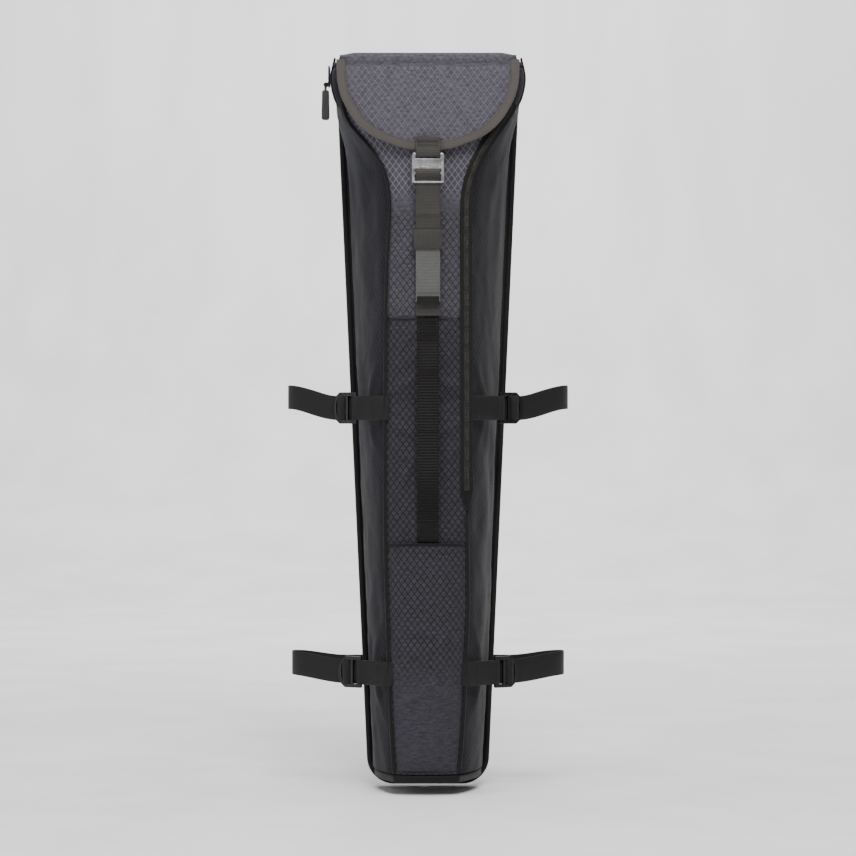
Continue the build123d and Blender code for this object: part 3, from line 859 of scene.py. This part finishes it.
class BAG_OT_ends(bpy.types.Operator):
    """The base, the pad inside it and the lid"""

    bl_idname = "bag.ends"
    bl_label = "Base and lid"

    def slab(self, name, z, low, high, inset, back_y, swell):
        def shape(u, v):
            spot = level_spot(u, v, z, inset, back_y)
            inner = min(1 - abs(u), 1 - abs(v))
            return at(spot.x, spot.y, high + swell * (smooth(inner / 0.3) - 1))

        obj = lay(name, 30, 24, shape, (0, 0, 1))
        thicken(obj, high - low)
        round_edges(obj, min(3.4, (high - low) * 0.42), 4)
        smooth_shade(obj, 50)
        return obj

    def execute(self, context):
        base = self.slab("base_wall", WALL_LOW, 12, 20, 0, SEWN_FACE, 0.8)
        finish(base, "edge", "bag", ["base_panel"])
        foot = self.slab("base_foam", WALL_LOW, 20.6, 28.4, 10, -16, 0.6)
        finish(foot, "foam", "bag", ["foot_pad"])
        lid = self.slab("lid_wall", WALL_HIGH, 758.1, 763.7, 0, -14.5, 0.5)
        finish(lid, "side", "lid", ["lid"])

        def fold(u, v):
            z = mix(744, 762.5, (v + 1) / 2)
            return at(u * (back_half(z) - 12), mix(-13.2, -15.2, (v + 1) / 2), z)

        hinge = lay("lid_hinge_cloth", 40, 14, fold, (0, -1, 0))
        thicken(hinge, 1.0)
        smooth_shade(hinge, 50)
        finish(hinge, "side", "lid")
        hinge.parent = None
        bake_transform(hinge)
        return {"FINISHED"}


def back_spot(u, v, inset):
    """A place on the back's rounded, tapered outline."""
    low, high = inset, 2 * MIDDLE - inset
    z = mix(low, high, 0.5 - 0.5 * math.cos(math.pi * (v + 1) / 2))
    radius = 28 - min(inset, 14)
    near = min(z - low, high - z)
    half = back_half(z) - inset
    if near < radius:
        half -= radius - math.sqrt(max(radius ** 2 - (radius - near) ** 2, 0))
    return u * half, z


class BAG_OT_back(bpy.types.Operator):
    """The back: its cloth panel, its bound edge and the soft mesh pad"""

    bl_idname = "bag.back"
    bl_label = "Back"

    def execute(self, context):
        def cloth(u, v):
            x, z = back_spot(u, v, 3)
            return at(x, -8 + 0.3 * ripple(x, z, 30), z)

        panel = lay("back_wall", 24, 150, cloth, (0, 1, 0))
        thicken(panel, 4)
        smooth_shade(panel, 50)
        finish(panel, "back", "bag", ["back_panel"])

        def cushion(u, v):
            x, z = back_spot(u, v, 16)
            rise = 7.6 * (1 - abs(u) ** 5) ** 0.5
            ends = min(z - 16, 2 * MIDDLE - 16 - z)
            rise *= 0.4 + 0.6 * smooth(ends / 14)
            for line in (-0.36, 0.36):
                rise -= 2.6 * pinch(abs(u - line) * 60, 6)
            rise -= 2.2 * pinch(abs((z - 16) % 185 - 92.5), 6) * (1 if 60 < z < 710 else 0)
            return at(x, -8 + max(rise, 0.2), z)

        soft_pad = lay("back_cushion", 60, 210, cushion, (0, 1, 0))
        thicken(soft_pad, 0.8)
        smooth_shade(soft_pad, 60)
        finish(soft_pad, "mesh", "bag", ["back_pad"])

        edge = [back_spot(1, -1 + 2 * i / 90, 3.5) for i in range(91)]
        ring = edge + [(-x, z) for x, z in reversed(edge)]
        path = [(x, -10, z) for x, z in ring]
        binding = sweep("back_edge_tape", path, section_round(7, 6.4, 14), (0, -1, 0), closed=True)
        finish(binding, "edge", "bag", ["back_binding"])
        keep("back_stiffener", "board")
        return {"FINISHED"}


def flap_half(z):
    """Half the flap's width at a height of its rounded front."""
    share = min(max((z - FLAP_LOW) / (FLAP_HIGH - FLAP_LOW), 0.0), 1.0)
    for (w0, s0), (w1, s1) in zip(FLAP_EDGE, FLAP_EDGE[1:]):
        if share <= s1:
            t = (share - s0) / (s1 - s0)
            if s0 == 0.0:
                return FLAP_HALF * w1 * math.sqrt(t)
            return FLAP_HALF * mix(w0, w1, t)
    return FLAP_HALF


def flap_edge(inset):
    """The flap's rounded edge from the left corner round to the right one, drawn inward."""
    raw = [Vector((-x * FLAP_HALF, 0, mix(FLAP_LOW, FLAP_HIGH, z))) for x, z in reversed(FLAP_EDGE)]
    raw += [Vector((-p.x, 0, p.z)) for p in reversed(raw[:-1])]
    line = curve_points(raw, 120)
    moved = []
    for i, spot in enumerate(line):
        tangent = (line[min(i + 1, 120)] - line[max(i - 1, 0)]).normalized()
        moved.append(spot + Vector((-tangent.z, 0, tangent.x)) * inset)
    return moved


class BAG_OT_flap(bpy.types.Operator):
    """The padded flap: one sheet over the lid and down the front, with its folded tape edge"""

    bl_idname = "bag.flap"
    bl_label = "Flap"

    def execute(self, context):
        top_run, turn = 117.0, 5.0
        front_run = FLAP_HIGH - FLAP_LOW - turn - 1.0
        around = turn * math.pi / 2
        total = top_run + around + front_run

        def shape(u, v):
            t = (v + 1) / 2
            s = total - total * t
            if s <= front_run:
                share = s / front_run
                z = FLAP_LOW + 1.0 + front_run * share ** 1.6
                half = flap_half(z) - 1.0
                x = u * half
                edge = min(half - abs(x), z - FLAP_LOW + 2)
                out = FLAP_OUT - 1.5 * pinch(edge, 15) + 0.9 * smooth(edge / 30)
                wide = min(max(half / 60, 0), 1)
                free = smooth(edge / 20)
                out += wide * (0.7 * ripple(x, z, 40, 2) + 0.35 * ripple(x, z, 15, 6)) * free
                out += 1.4 * free * crease(x, z, -34, 716, 26, 5, 62)
                out += 1.4 * free * crease(x, z, 36, 712, 26, 5, -60)
                out -= 0.8 * smooth(edge / 16) * pinch(abs(z - 757), 5)
                return at(x, seam_y(z) - out, z)
            corner_y = seam_y(FLAP_HIGH - turn) - FLAP_OUT + turn
            if s <= front_run + around:
                a = (s - front_run) / turn
                y = corner_y - turn * math.cos(a)
                z = FLAP_HIGH - turn + turn * math.sin(a)
                tuck = smooth((abs(u) - 0.8) / 0.2)
                return at(u * (FLAP_HALF - 1.0 - 1.5 * tuck), y, z - 2.4 * tuck * math.sin(a))
            share = (s - front_run - around) / top_run
            y = mix(corner_y, -14.5, share)
            half = mix(FLAP_HALF - 1.0, 91, share)
            edge = (1 - abs(u)) * half
            tuck = smooth((abs(u) - 0.8) / 0.2)
            z = FLAP_HIGH - 2.4 * tuck + 0.7 * smooth(edge / 20) * ripple(u * half, y, 34, 4)
            return at(u * (half - 1.5 * tuck * (1 - share)), y, z)

        cover = pad("flap_cover", 60, 130, shape, (0, -1, 0.5), 6)
        finish(cover, "flap", "flap", ["flap_top", "flap_front"])
        cover.parent = None
        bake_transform(cover)

        edge = [Vector((p.x, seam_y(p.z) - 11.6, p.z)) for p in flap_edge(3.5) if p.z < 763]
        tape = sweep("flap_edge_tape", edge, section_tape(9.5, 8.2), (0, -1, -LEAN))
        line = [Vector((p.x, seam_y(p.z) - 15.6, p.z)) for p in flap_edge(6.6) if p.z < 755]
        thread = stitches("flap_edge_stitches", line, (0, -1, -LEAN), 3.2, 2.2)
        finish(thread, "thread", "flap")
        finish(tape, "binding", "flap", ["flap_binding"])
        return {"FINISHED"}


LEAN_DROP = 1.55  # the closure is measured along the leaning front, which brings it this much lower
WEB_SLOPE = 0.0569  # the slope of the closure strap where the keeper rides
KEEPER_AT = (578, 12.6)  # height of the keeper, and how far out its middle is


class BAG_OT_closure(bpy.types.Operator):
    """The front closure: webbing tab, hook, ladder frame, strap, its tail and its keeper"""

    bl_idname = "bag.closure"
    bl_label = "Closure"

    def metal(self, name, xs, zs, holes, near, thick, corners=()):
        def depth(co):
            return at(*front(co.x, co.z - LEAN_DROP, near + co.y))

        return plate(name, xs, zs, holes, depth, thick, 0.5, corners)

    def web(self, name, side_view, count, thick=1.5):
        width = bpy.context.scene.bag_trim.web_width / MM
        places = [front(0, z - LEAN_DROP * smooth((z - 560) / 60), out) for out, z in side_view]
        return sweep(name, curve_points(places, count), section_web(width, thick))

    def execute(self, context):
        tab = [(16.75, 684), (16.75, 676), (16.8, 669.5), (17.2, 665.4), (18.7, 664.2)]
        tab += [(20.3, 665.4), (20.65, 669), (19.9, 674), (18.5, 678), (18.25, 684)]
        finish(self.web("closure_tab_web", tab, 72), "webbing", "flap", ["closure_tab"])
        rows = []
        for z, out in ((678.2, 19.5), (674.3, 20.6)):
            path = [front(x, z, out) for x in (-11.5, 11.5)]
            rows.append(stitches("row", path, (0, -1, 0), 2.8, 1.5, 1.4))
        finish(joined("closure_tab_stitches", rows), "edge", "flap")

        hook = self.metal(
            "hook_plate", [-16.5, -12.9, 12.9, 16.5], [654.4, 659, 662, 665.6, 668],
            {(2, 0), (1, 2), (1, 3)}, 17.9, 1.6, [(-16.5, 668, 3), (16.5, 668, 3), (-16.5, 654.4, 0.8)],
        )
        spine = [front(x, 665.05, 18.72) for x in (-14.6, -7, 0, 7, 14.6)]
        bar = sweep("bar", spine, section_round(1.7, 1.7, 16), (0, -1, 0))
        lug = self.metal("lug", [-4.5, 0, 4.5], [656.6, 657.4, 658.2], set(), 16.7, 1.3)
        hook = joined("hook_plate", [hook, lug, bar])
        finish(hook, "silver", "hook", ["closure_hook"])

        frame = self.metal(
            "ladder_frame", [-16.5, -13.9, 12.9, 13.9, 16.5],
            [637, 638.8, 646, 648, 651.7, 653.8, 658.4],
            {(1, 1), (2, 1), (1, 3), (2, 3), (0, 5), (1, 5)}, 17.9, 1.6,
            [(-16.5, 637, 3.5), (16.5, 637, 3.5), (-16.5, 653.8, 0.8), (16.5, 658.4, 0.8)],
        )
        tongue = self.metal(
            "tongue", [-9, -4.9, 4.9, 9], [652.4, 656.3, 660, 661.4], {(1, 1)}, 16.4, 1.2
        )
        frame = joined("ladder_frame", [frame, tongue])
        finish(frame, "silver", "strap", ["closure_frame"])

        strap = [(7.35, 499.5), (9.5, 540), (11.2, 575), (12.2, 628), (12.0, 643), (13.6, 650.4)]
        strap += [(18.0, 651.2), (20.5, 648.8), (20.2, 645.4), (17.2, 641.2), (16.4, 632), (15.2, 612)]
        strap += [(15.5, 605.5), (14.2, 601), (13.6, 590), (13.1, 569)]
        strap = self.web("closure_strap_web", strap, 190)
        finish(strap, "webbing", "strap", ["closure_strap"])
        tail = [(13.2, 571), (12.7, 558.5), (11.6, 536), (10.3, 516), (10.6, 513.2), (12.1, 512.6)]
        tail += [(12.9, 514.5), (13.0, 521.0)]
        tail = self.web("strap_tail_web", tail, 80)
        finish(tail, "tail", "tail", ["closure_tail"])
        tail.parent = None
        at(*front(0, 563, 12.8))
        at(*front(0, 550, 12.2))
        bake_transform(tail)
        end = self.web("tail_end_fold", [(12.1, 519.5), (12.0, 515.5), (11.9, 511.6)], 12, 4.6)
        finish(end, "edge", "tail")

        height, middle_out = KEEPER_AT
        half, reach, corner = 14.0, 3.2, 2.2
        ring = []
        for sx, so, start in ((1, 1, 0), (-1, 1, 90), (-1, -1, 180), (1, -1, 270)):
            for step in range(6):
                a = math.radians(start + step * 18)
                x = sx * (half - corner) + corner * math.cos(a)
                out = middle_out + so * (reach - corner) + corner * math.sin(a)
                ring.append(front(x, height, out))
        middle = Vector(front(0, height, middle_out))
        band = section_web(20, 1.1)
        keeper = sweep("strap_keeper_band", ring, band, lambda p: p - middle, closed=True)
        for vertex in keeper.data.vertices:
            vertex.co.y -= WEB_SLOPE * (vertex.co.z - (height - MIDDLE) * MM)
        finish(keeper, "webbing", "keeper", ["strap_keeper"])
        return {"FINISHED"}


class BAG_OT_handle(bpy.types.Operator):
    """The ribbed carrying handle, sewn down at both ends"""

    bl_idname = "bag.handle"
    bl_label = "Handle"

    def execute(self, context):
        rise = [(7.6, 496.5), (7.8, 484), (8.0, 474), (10.8, 460), (13.6, 446), (14.0, 430)]
        rise += [(14.0, 380.5)]
        fall = [(out, 761 - z) for out, z in reversed(rise)]
        flat = section_web(23, 3.0)

        def ribs(length):
            return 0.86 + 0.2 * math.cos(math.tau * length / 3.0)

        halves = (
            ("handle_top", rise, "handle_upper", 484, 446),
            ("handle_low", fall, "handle_lower", 277, 315),
        )
        for name, points, node, still, moving in halves:
            path = curve_points([front(0, z, out) for out, z in points], 200)
            grip = sweep(name, path, flat, swell=ribs)
            finish(grip, "handle", "handle", [node, "handle_grip"])
            grip.parent = None
            at(*front(0, still, 8))
            at(*front(0, moving, 8))
            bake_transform(grip)
        marks = []
        for low, high in ((475, 494), (268, 287)):
            sides = [((x, low), (x, high)) for x in (-9.5, 9.5)]
            ends = [((-9.5, z), (9.5, z)) for z in (low, high)]
            for line in sides + ends:
                path = [front(x, z, 9.6) for x, z in line]
                marks.append(stitches("row", path, (0, -1, 0), 3.0, 2.2, 0.7))
        finish(joined("handle_stitches", marks), "thread", "bag")
        return {"FINISHED"}


class BAG_OT_seams(bpy.types.Operator):
    """The tape piping sewn along the two front seams"""

    bl_idname = "bag.seams"
    bl_label = "Seam piping"

    def execute(self, context):
        for side, name, high in ((-1, "left", 756), (1, "right", 292)):
            count = int((high - 22) / 5)
            heights = [mix(22, high, i / count) for i in range(count + 1)]
            path = [front(seam_x(side, z), z, 1.6) for z in heights]
            piping = sweep(f"piping_{name}_tape", path, section_round(3.6, 3.0), (0, -1, -LEAN))
            finish(piping, "edge", "bag", [f"piping_{name}"])
        return {"FINISHED"}


class BAG_OT_zip(bpy.types.Operator):
    """The long zip: tape, coil, sewn end, corner turns, slider and rubber pull"""

    bl_idname = "bag.zip"
    bl_label = "Zip"

    def corner(self, side, name):
        spine = [(93, 717), (98.5, 730), (101, 748), (97, 768)]
        path = [(side * p.x, CORNER_Y, p.z) for p in curve_points([(x, 0, z) for x, z in spine], 40)]
        centre = Vector((side * 60, CORNER_Y, 745))
        tape = sweep("tape", path, section_web(13, 1.8), lambda p: p - centre)
        finish(tape, "tape", "bag", [name])

    def execute(self, context):
        heights = [mix(317, 719, i / 200) for i in range(201)]
        path = [front(seam_x(1, z), z, 3.0) for z in heights]
        tape = sweep("zip_tape_band", path, section_web(13, 1.2), (0, -1, -LEAN))
        finish(tape, "tape", "bag", ["zip_tape"])
        heights = [mix(318, 718, i / 760) for i in range(761)]
        path = [front(seam_x(1, z), z, 4.1) for z in heights]

        def turns(length):
            return 0.8 + 0.25 * math.cos(math.tau * length / 2.1)

        coil = sweep("zip_coil_turns", path, section_round(6, 2.2, 10), (0, -1, -LEAN), swell=turns)
        finish(coil, "coil", "bag", ["zip_coil"])

        end_x = seam_x(1, 320)

        def patch(u, v):
            z = mix(298 + 16 * abs(u), 317 + 6 * abs(u), (v + 1) / 2)
            return at(*front(end_x + 6.6 * u, z, 4.2 - 0.5 * abs(u)))

        end = lay("zip_end_patch", 12, 12, patch, (0, -1, 0))
        thicken(end, 1.3)
        round_edges(end, 0.4)
        smooth_shade(end, 40)
        finish(end, "tape", "bag", ["zip_end"])
        for side, name in ((-1, "zip_corner_left"), (1, "zip_corner_right")):
            self.corner(side, name)
        self.slider()
        return {"FINISHED"}

    def slider(self):
        def depth(co):
            taper = 1 - 0.02 * abs(co.z + 2)
            return at(-101.9 - co.y * (1 - 0.0006 * co.z ** 2), CORNER_Y + co.x * taper, 749 + co.z)

        xs = [-5.5, -1.6, 1.6, 5.5]
        body = plate("slider", xs, [-11, -5, 5, 11], set(), depth, 2.2, 0.7)
        ears = []
        for y in (-2.9, 2.9):
            def ear(co, y=y):
                return at(-103.8 - co.x, CORNER_Y + y + co.y, PIN[2] + co.z)

            tips = [(4.4, 2, 1.2), (4.4, -2, 1.2)]
            ears.append(plate("ear", [0, 2.2, 4.4], [-2, 0, 2], set(), ear, 1.4, 0.4, tips))
        pin_path = [(PIN[0], y, PIN[2]) for y in (-107.8, -106, -104, -102, -101.2)]
        pin = sweep("pin", pin_path, section_round(1.8, 1.8, 12), (1, 0, 0))
        metal = joined("zip_slider_body", [body, *ears, pin])
        finish(metal, "gunmetal", "slider", ["zip_slider"])

        ring_path = []
        for i in range(24):
            a = math.tau * i / 24
            ring_path.append((PIN[0] + 1.75 * math.cos(a), PIN[1], PIN[2] + 1.75 * math.sin(a)))
        ring = sweep("ring", ring_path, section_round(3.0, 1.0, 8),
                     lambda p: p - Vector(PIN), closed=True)

        def tab(co):
            waist = 1 - 0.14 * math.exp(-(((co.z - 10) / 7) ** 2))
            return at(PIN[0] + co.x * waist, -106.0 + co.y, 719.5 + co.z)

        grip = plate("grip", [-4.15, -1.4, 1.4, 4.15], [-15.5, -11, -5, 5, 15.5, 19.8],
                     {(0, 4), (2, 4)}, tab, 3.0, 0.7,
                     [(-4.15, -15.5, 2.5), (4.15, -15.5, 2.5), (-4.15, 15.5, 2), (4.15, 15.5, 2)])
        pull = joined("zip_pull_tab", [grip, ring])
        finish(pull, "rubber", "pull", ["zip_pull"])


class BAG_OT_pocket(bpy.types.Operator):
    """The low front pocket with its taped mouth"""

    bl_idname = "bag.pocket"
    bl_label = "Pocket"

    # Place across, height and tilt in degrees of the loose folds
    FOLDS = ((-20, 150, -24), (20, 160, 20), (6, 168, -8), (-24, 96, 30), (24, 100, -30))

    def execute(self, context):
        def across(u, z):
            left, right = seam_x(-1, z) + 3.4, seam_x(1, z) - 3.2
            return mix(left, right, (u + 1) / 2)

        def rise(u, z):
            side = (1 - abs(u) ** 3) ** 0.85
            low = min((z - 24) / 20, 1.0)
            return 1.6 + 5.6 * (1 - abs(u) ** 2.6) + 5.4 * side * (1 - (1 - low) ** 3)

        def shape(u, v):
            z = mix(24, 260.5, (v + 1) / 2)
            x = across(u, z)
            loose = smooth((1 - abs(u)) * 2.2)
            out = rise(u, z) - 0.7 * pinch(abs(z - 253), 2.5) * loose
            out += loose * (1.1 * ripple(x, z, 32, 9) + 0.4 * ripple(x, z, 11, 1))
            for cx, cz, tilt in self.FOLDS:
                out += 2.2 * loose * crease(x, z, cx, cz, 24, 5, tilt)
            return at(*front(x, z, out))

        wall = pad("pocket_wall", 44, 110, shape, (0, -1, 0), 2.5)
        finish(wall, "pocket", "bag", ["pocket"])
        hem, seam = [], []
        for i in range(49):
            u = 0.98 * (-1 + 2 * i / 48)
            lift = 0.8 * (1 - u * u)
            hem.append(front(across(u, 260.5), 260.8 + lift, rise(u, 260.5) - 1.0))
            seam.append(front(across(u, 253), 253, rise(u, 253) - 0.2))
        tape = sweep("pocket_mouth_tape", hem, section_tape(2.6, 3.4), (0, -1, -LEAN))
        finish(tape, "edge", "bag", ["pocket_binding"])
        thread = stitches("pocket_stitches", seam, (0, -1, -LEAN), 3.0, 2.0, 0.7)
        finish(thread, "thread", "bag")
        return {"FINISHED"}


# Height, reach to the side and how far the outer end rises, for each pair of straps
STRAP_ROWS = {"upper": (ANCHOR_ROWS[0], 150.0, 12.0), "lower": (ANCHOR_ROWS[1], 146.0, 6.0)}
STRAP_ANGLE = math.radians(30)  # how far the buckles turn back from the front
BARS = {"upper": (76.291, -87.834), "lower": (71.379, -76.796)}  # the pins that the buckles turn on
# The loop's way through the buckle, as distances along it and out from it
LOOP_WEAVE = [(4.6, -2.5), (11.0, -2.3), (14.2, 0.4), (17.5, 2.35), (20.8, 0.4), (24.6, -2.5)]
LOOP_WEAVE += [(32, -2.45)]


class BAG_OT_side_straps(bpy.types.Operator):
    """The four side straps: sewn anchors, dark metal buckles and the loops through them"""

    bl_idname = "bag.side_straps"
    bl_label = "Side straps"

    def buckle(self, name, bar, side, height):
        a = STRAP_ANGLE

        def depth(co):
            along, across = co.x, co.y - 1.5
            along -= 8.0 * smooth((along - 8) / 18) * abs(co.z / 16.5) ** 3
            x = bar[0] + along * math.cos(a) + across * math.sin(a)
            y = bar[1] + along * math.sin(a) - across * math.cos(a)
            return at(side * x, y, height + co.z)

        xs = [-1.8, 1.8, 8.5, 11.5, 16, 19, 22.8, 26.4]
        upper = [3, 6, 9, 11.5, 12.75, 15.2, 16.5]
        zs = [-z for z in reversed(upper)] + [0] + upper
        holes = {(i, j) for i in (1, 3, 5) for j in range(2, 12)}
        ends = [(-1.8, -16.5, 1.5), (-1.8, 16.5, 1.5)]
        return plate(name, xs, zs, holes, depth, 3.0, 0.9, ends)

    def execute(self, context):
        a = STRAP_ANGLE
        out = Vector((math.cos(a), math.sin(a)))
        face = Vector((math.sin(a), -math.cos(a)))
        width = context.scene.bag_trim.web_width / MM
        for row, (height, reach, climb) in STRAP_ROWS.items():
            bar = Vector(BARS[row])
            for side, hand in ((-1, "left"), (1, "right")):
                label = f"{row}_{hand}"
                seam = Vector((abs(seam_x(side, height)), seam_y(height)))
                run = [seam + Vector((-3.5, -3.2)), seam + Vector((1.5, -1.8)), seam + Vector((7, 0.2))]
                run += [bar - out * 8 + face * 1.6]
                for step in range(7):
                    turn = math.radians(90 - 30 * step)
                    run.append(bar + out * 3.0 * math.cos(turn) + face * 3.0 * math.sin(turn))
                run += [bar - out * 9 - face * 0.2, seam + Vector((9, 2.6))]
                path = [(side * p.x, p.y, height) for p in curve_points([(*q, 0) for q in run], 80)]
                anchor = self.strap(f"anchor_{label}_web", path, width)
                finish(anchor, "strap", "bag", [f"anchor_{label}"])
                marks = []
                corners = [(2.6, -10), (13.5, -10), (13.5, 10), (2.6, 10)]
                for start, end in ((0, 1), (1, 2), (2, 3), (3, 0), (0, 2), (1, 3)):
                    line = []
                    for along, z in (corners[start], corners[end]):
                        line.append(front(side * (seam.x + along), height + z, 2.9 - 0.45 * along))
                    marks.append(stitches("row", line, (0, -1, 0), 2.6, 1.8, 0.7))
                finish(joined(f"anchor_{label}_stitches", marks), "thread", "bag")

                buckle = self.buckle(f"buckle_{label}_plate", bar, side, height)
                body = f"strap_set_{label}"
                finish(buckle, "gunmetal", body, [f"buckle_{label}"])

                line = [bar + out * along + face * lift for along, lift in LOOP_WEAVE]
                second = line[-1]
                line += [Vector((reach - 9, 0.64 * second.y)), Vector((reach - 0.9, 0.36 * second.y))]
                line += [Vector((reach - 9, -12)), Vector((reach - 32, -6.6))]
                line += [Vector((back_half(height) + 6, -5.6)), Vector((back_half(height) - 7.5, -5.6))]
                path = []
                for spot in curve_points([(*q, 0) for q in line], 150):
                    rise = climb * smooth((spot.x - bar.x - 18) / (reach - bar.x - 18))
                    path.append((side * spot.x, spot.y, height + rise))
                loop = self.strap(f"loop_{label}_web", path, width)
                finish(loop, "strap", body, [f"loop_{label}"])
        return {"FINISHED"}

    def strap(self, name, path, width):
        """Webbing whose width stands upright."""
        points = [Vector(p) for p in path]

        def outward(spot):
            near = min(range(len(points)), key=lambda k: (points[k] - spot).length_squared)
            ahead, behind = points[min(near + 1, len(points) - 1)], points[max(near - 1, 0)]
            return (ahead - behind).cross(Vector((0, 0, 1)))

        return sweep(name, path, section_web(width, 1.5), outward)


class BAG_OT_stage(bpy.types.Operator):
    """A plain pale floor, soft studio light and a camera straight in front"""

    bl_idname = "bag.stage"
    bl_label = "Stage"

    def area_light(self, name, place, aim, size, power, tint):
        bpy.ops.object.light_add(type="AREA", location=place)
        light = bpy.context.object
        light.name = name
        light.data.shape = "RECTANGLE"
        light.data.size, light.data.size_y = size
        light.data.energy = power
        light.data.color = tint
        light.rotation_euler = (Vector(aim) - Vector(place)).to_track_quat("-Z", "Y").to_euler()

    def execute(self, context):
        def sweep_back(u, v):
            s = (v + 1) / 2 * 11.0
            flat, bend, floor = 6.2, 1.4, -MIDDLE * MM - 0.002
            angle = min(max(s - flat, 0) / bend, math.pi / 2)
            y = -3.2 + min(s, flat) + bend * math.sin(angle)
            z = floor + bend * (1 - math.cos(angle))
            return Vector((u * 5, y, z + max(s - flat - bend * math.pi / 2, 0)))

        floor = lay("studio_floor", 8, 60, sweep_back, (0, -1, 1))
        smooth_shade(floor, 60)
        look, tree, shader = surface("painted_floor_rolled", Roughness=0.75)
        spot = add(tree, "ShaderNodeTexCoord").outputs["Object"]
        cloud = grain(tree, spot, 160, 160, 3.0)
        tone = blended(tree, graded(tree, cloud, 0.3, 0.7), linear("#e9e9ea"), linear("#f2f2f2"))
        tree.links.new(tone, shader.inputs["Base Color"])
        floor.data.materials.clear()
        floor.data.materials.append(look)

        middle = (0, -0.08, 0)
        self.area_light("key_light", (0.3, -2.1, 2.25), middle, (1.3, 1.3), 106, (1.0, 0.985, 0.96))
        self.area_light("fill_light", (-1.8, -1.8, 0.5), middle, (1.6, 1.8), 22, (0.95, 0.97, 1.0))
        self.area_light("top_light", (0, -0.3, 2.2), middle, (1.6, 1.0), 42, (1.0, 1.0, 1.0))
        self.area_light("wall_light", (0, 1.7, 2.3), (0, 4.4, 0.3), (3.6, 0.6), 150, (1.0, 1.0, 1.0))
        world = bpy.data.worlds.new("studio_air")
        bpy.context.scene.world = world
        world.use_nodes = True
        sky = world.node_tree.nodes["Background"]
        sky.inputs["Color"].default_value = (0.94, 0.96, 1.0, 1.0)
        sky.inputs["Strength"].default_value = 0.22

        bpy.ops.object.camera_add(location=(0, -2.955, -0.0025), rotation=(math.pi / 2, 0, 0))
        camera = bpy.context.object
        camera.name = "studio_camera"
        camera.data.lens = 115
        camera.data.sensor_width = 36
        bpy.context.scene.camera = camera
        return {"FINISHED"}


OPERATORS = (
    BAG_OT_front, BAG_OT_sides, BAG_OT_ends, BAG_OT_back, BAG_OT_flap, BAG_OT_closure,
    BAG_OT_handle, BAG_OT_seams, BAG_OT_zip, BAG_OT_pocket, BAG_OT_side_straps, BAG_OT_stage,
)


class BAG_PT_panel(bpy.types.Panel):
    """The bag's settings, and a button for each of its parts"""

    bl_idname = "BAG_PT_panel"
    bl_label = "Tripod bag"
    bl_space_type = "VIEW_3D"
    bl_region_type = "UI"
    bl_category = "Bag"

    def draw(self, context):
        for title, settings in (("Cloth", context.scene.bag_cloth), ("Trim", context.scene.bag_trim)):
            box = self.layout.box()
            box.label(text=title)
            for name in settings.__annotations__:
                box.prop(settings, name)
        column = self.layout.column(align=True)
        for operator in OPERATORS:
            column.operator(operator.bl_idname)


CLASSES = (BagClothSettings, BagTrimSettings, *OPERATORS, BAG_PT_panel)


def register():
    for entry in CLASSES:
        bpy.utils.register_class(entry)
    bpy.types.Scene.bag_cloth = bpy.props.PointerProperty(type=BagClothSettings)
    bpy.types.Scene.bag_trim = bpy.props.PointerProperty(type=BagTrimSettings)


def unregister():
    del bpy.types.Scene.bag_trim
    del bpy.types.Scene.bag_cloth
    for entry in reversed(CLASSES):
        bpy.utils.unregister_class(entry)


def main():
    register()
    for operator in OPERATORS:
        getattr(bpy.ops.bag, operator.bl_idname.split(".")[1])()


if __name__ == "__main__":
    main()
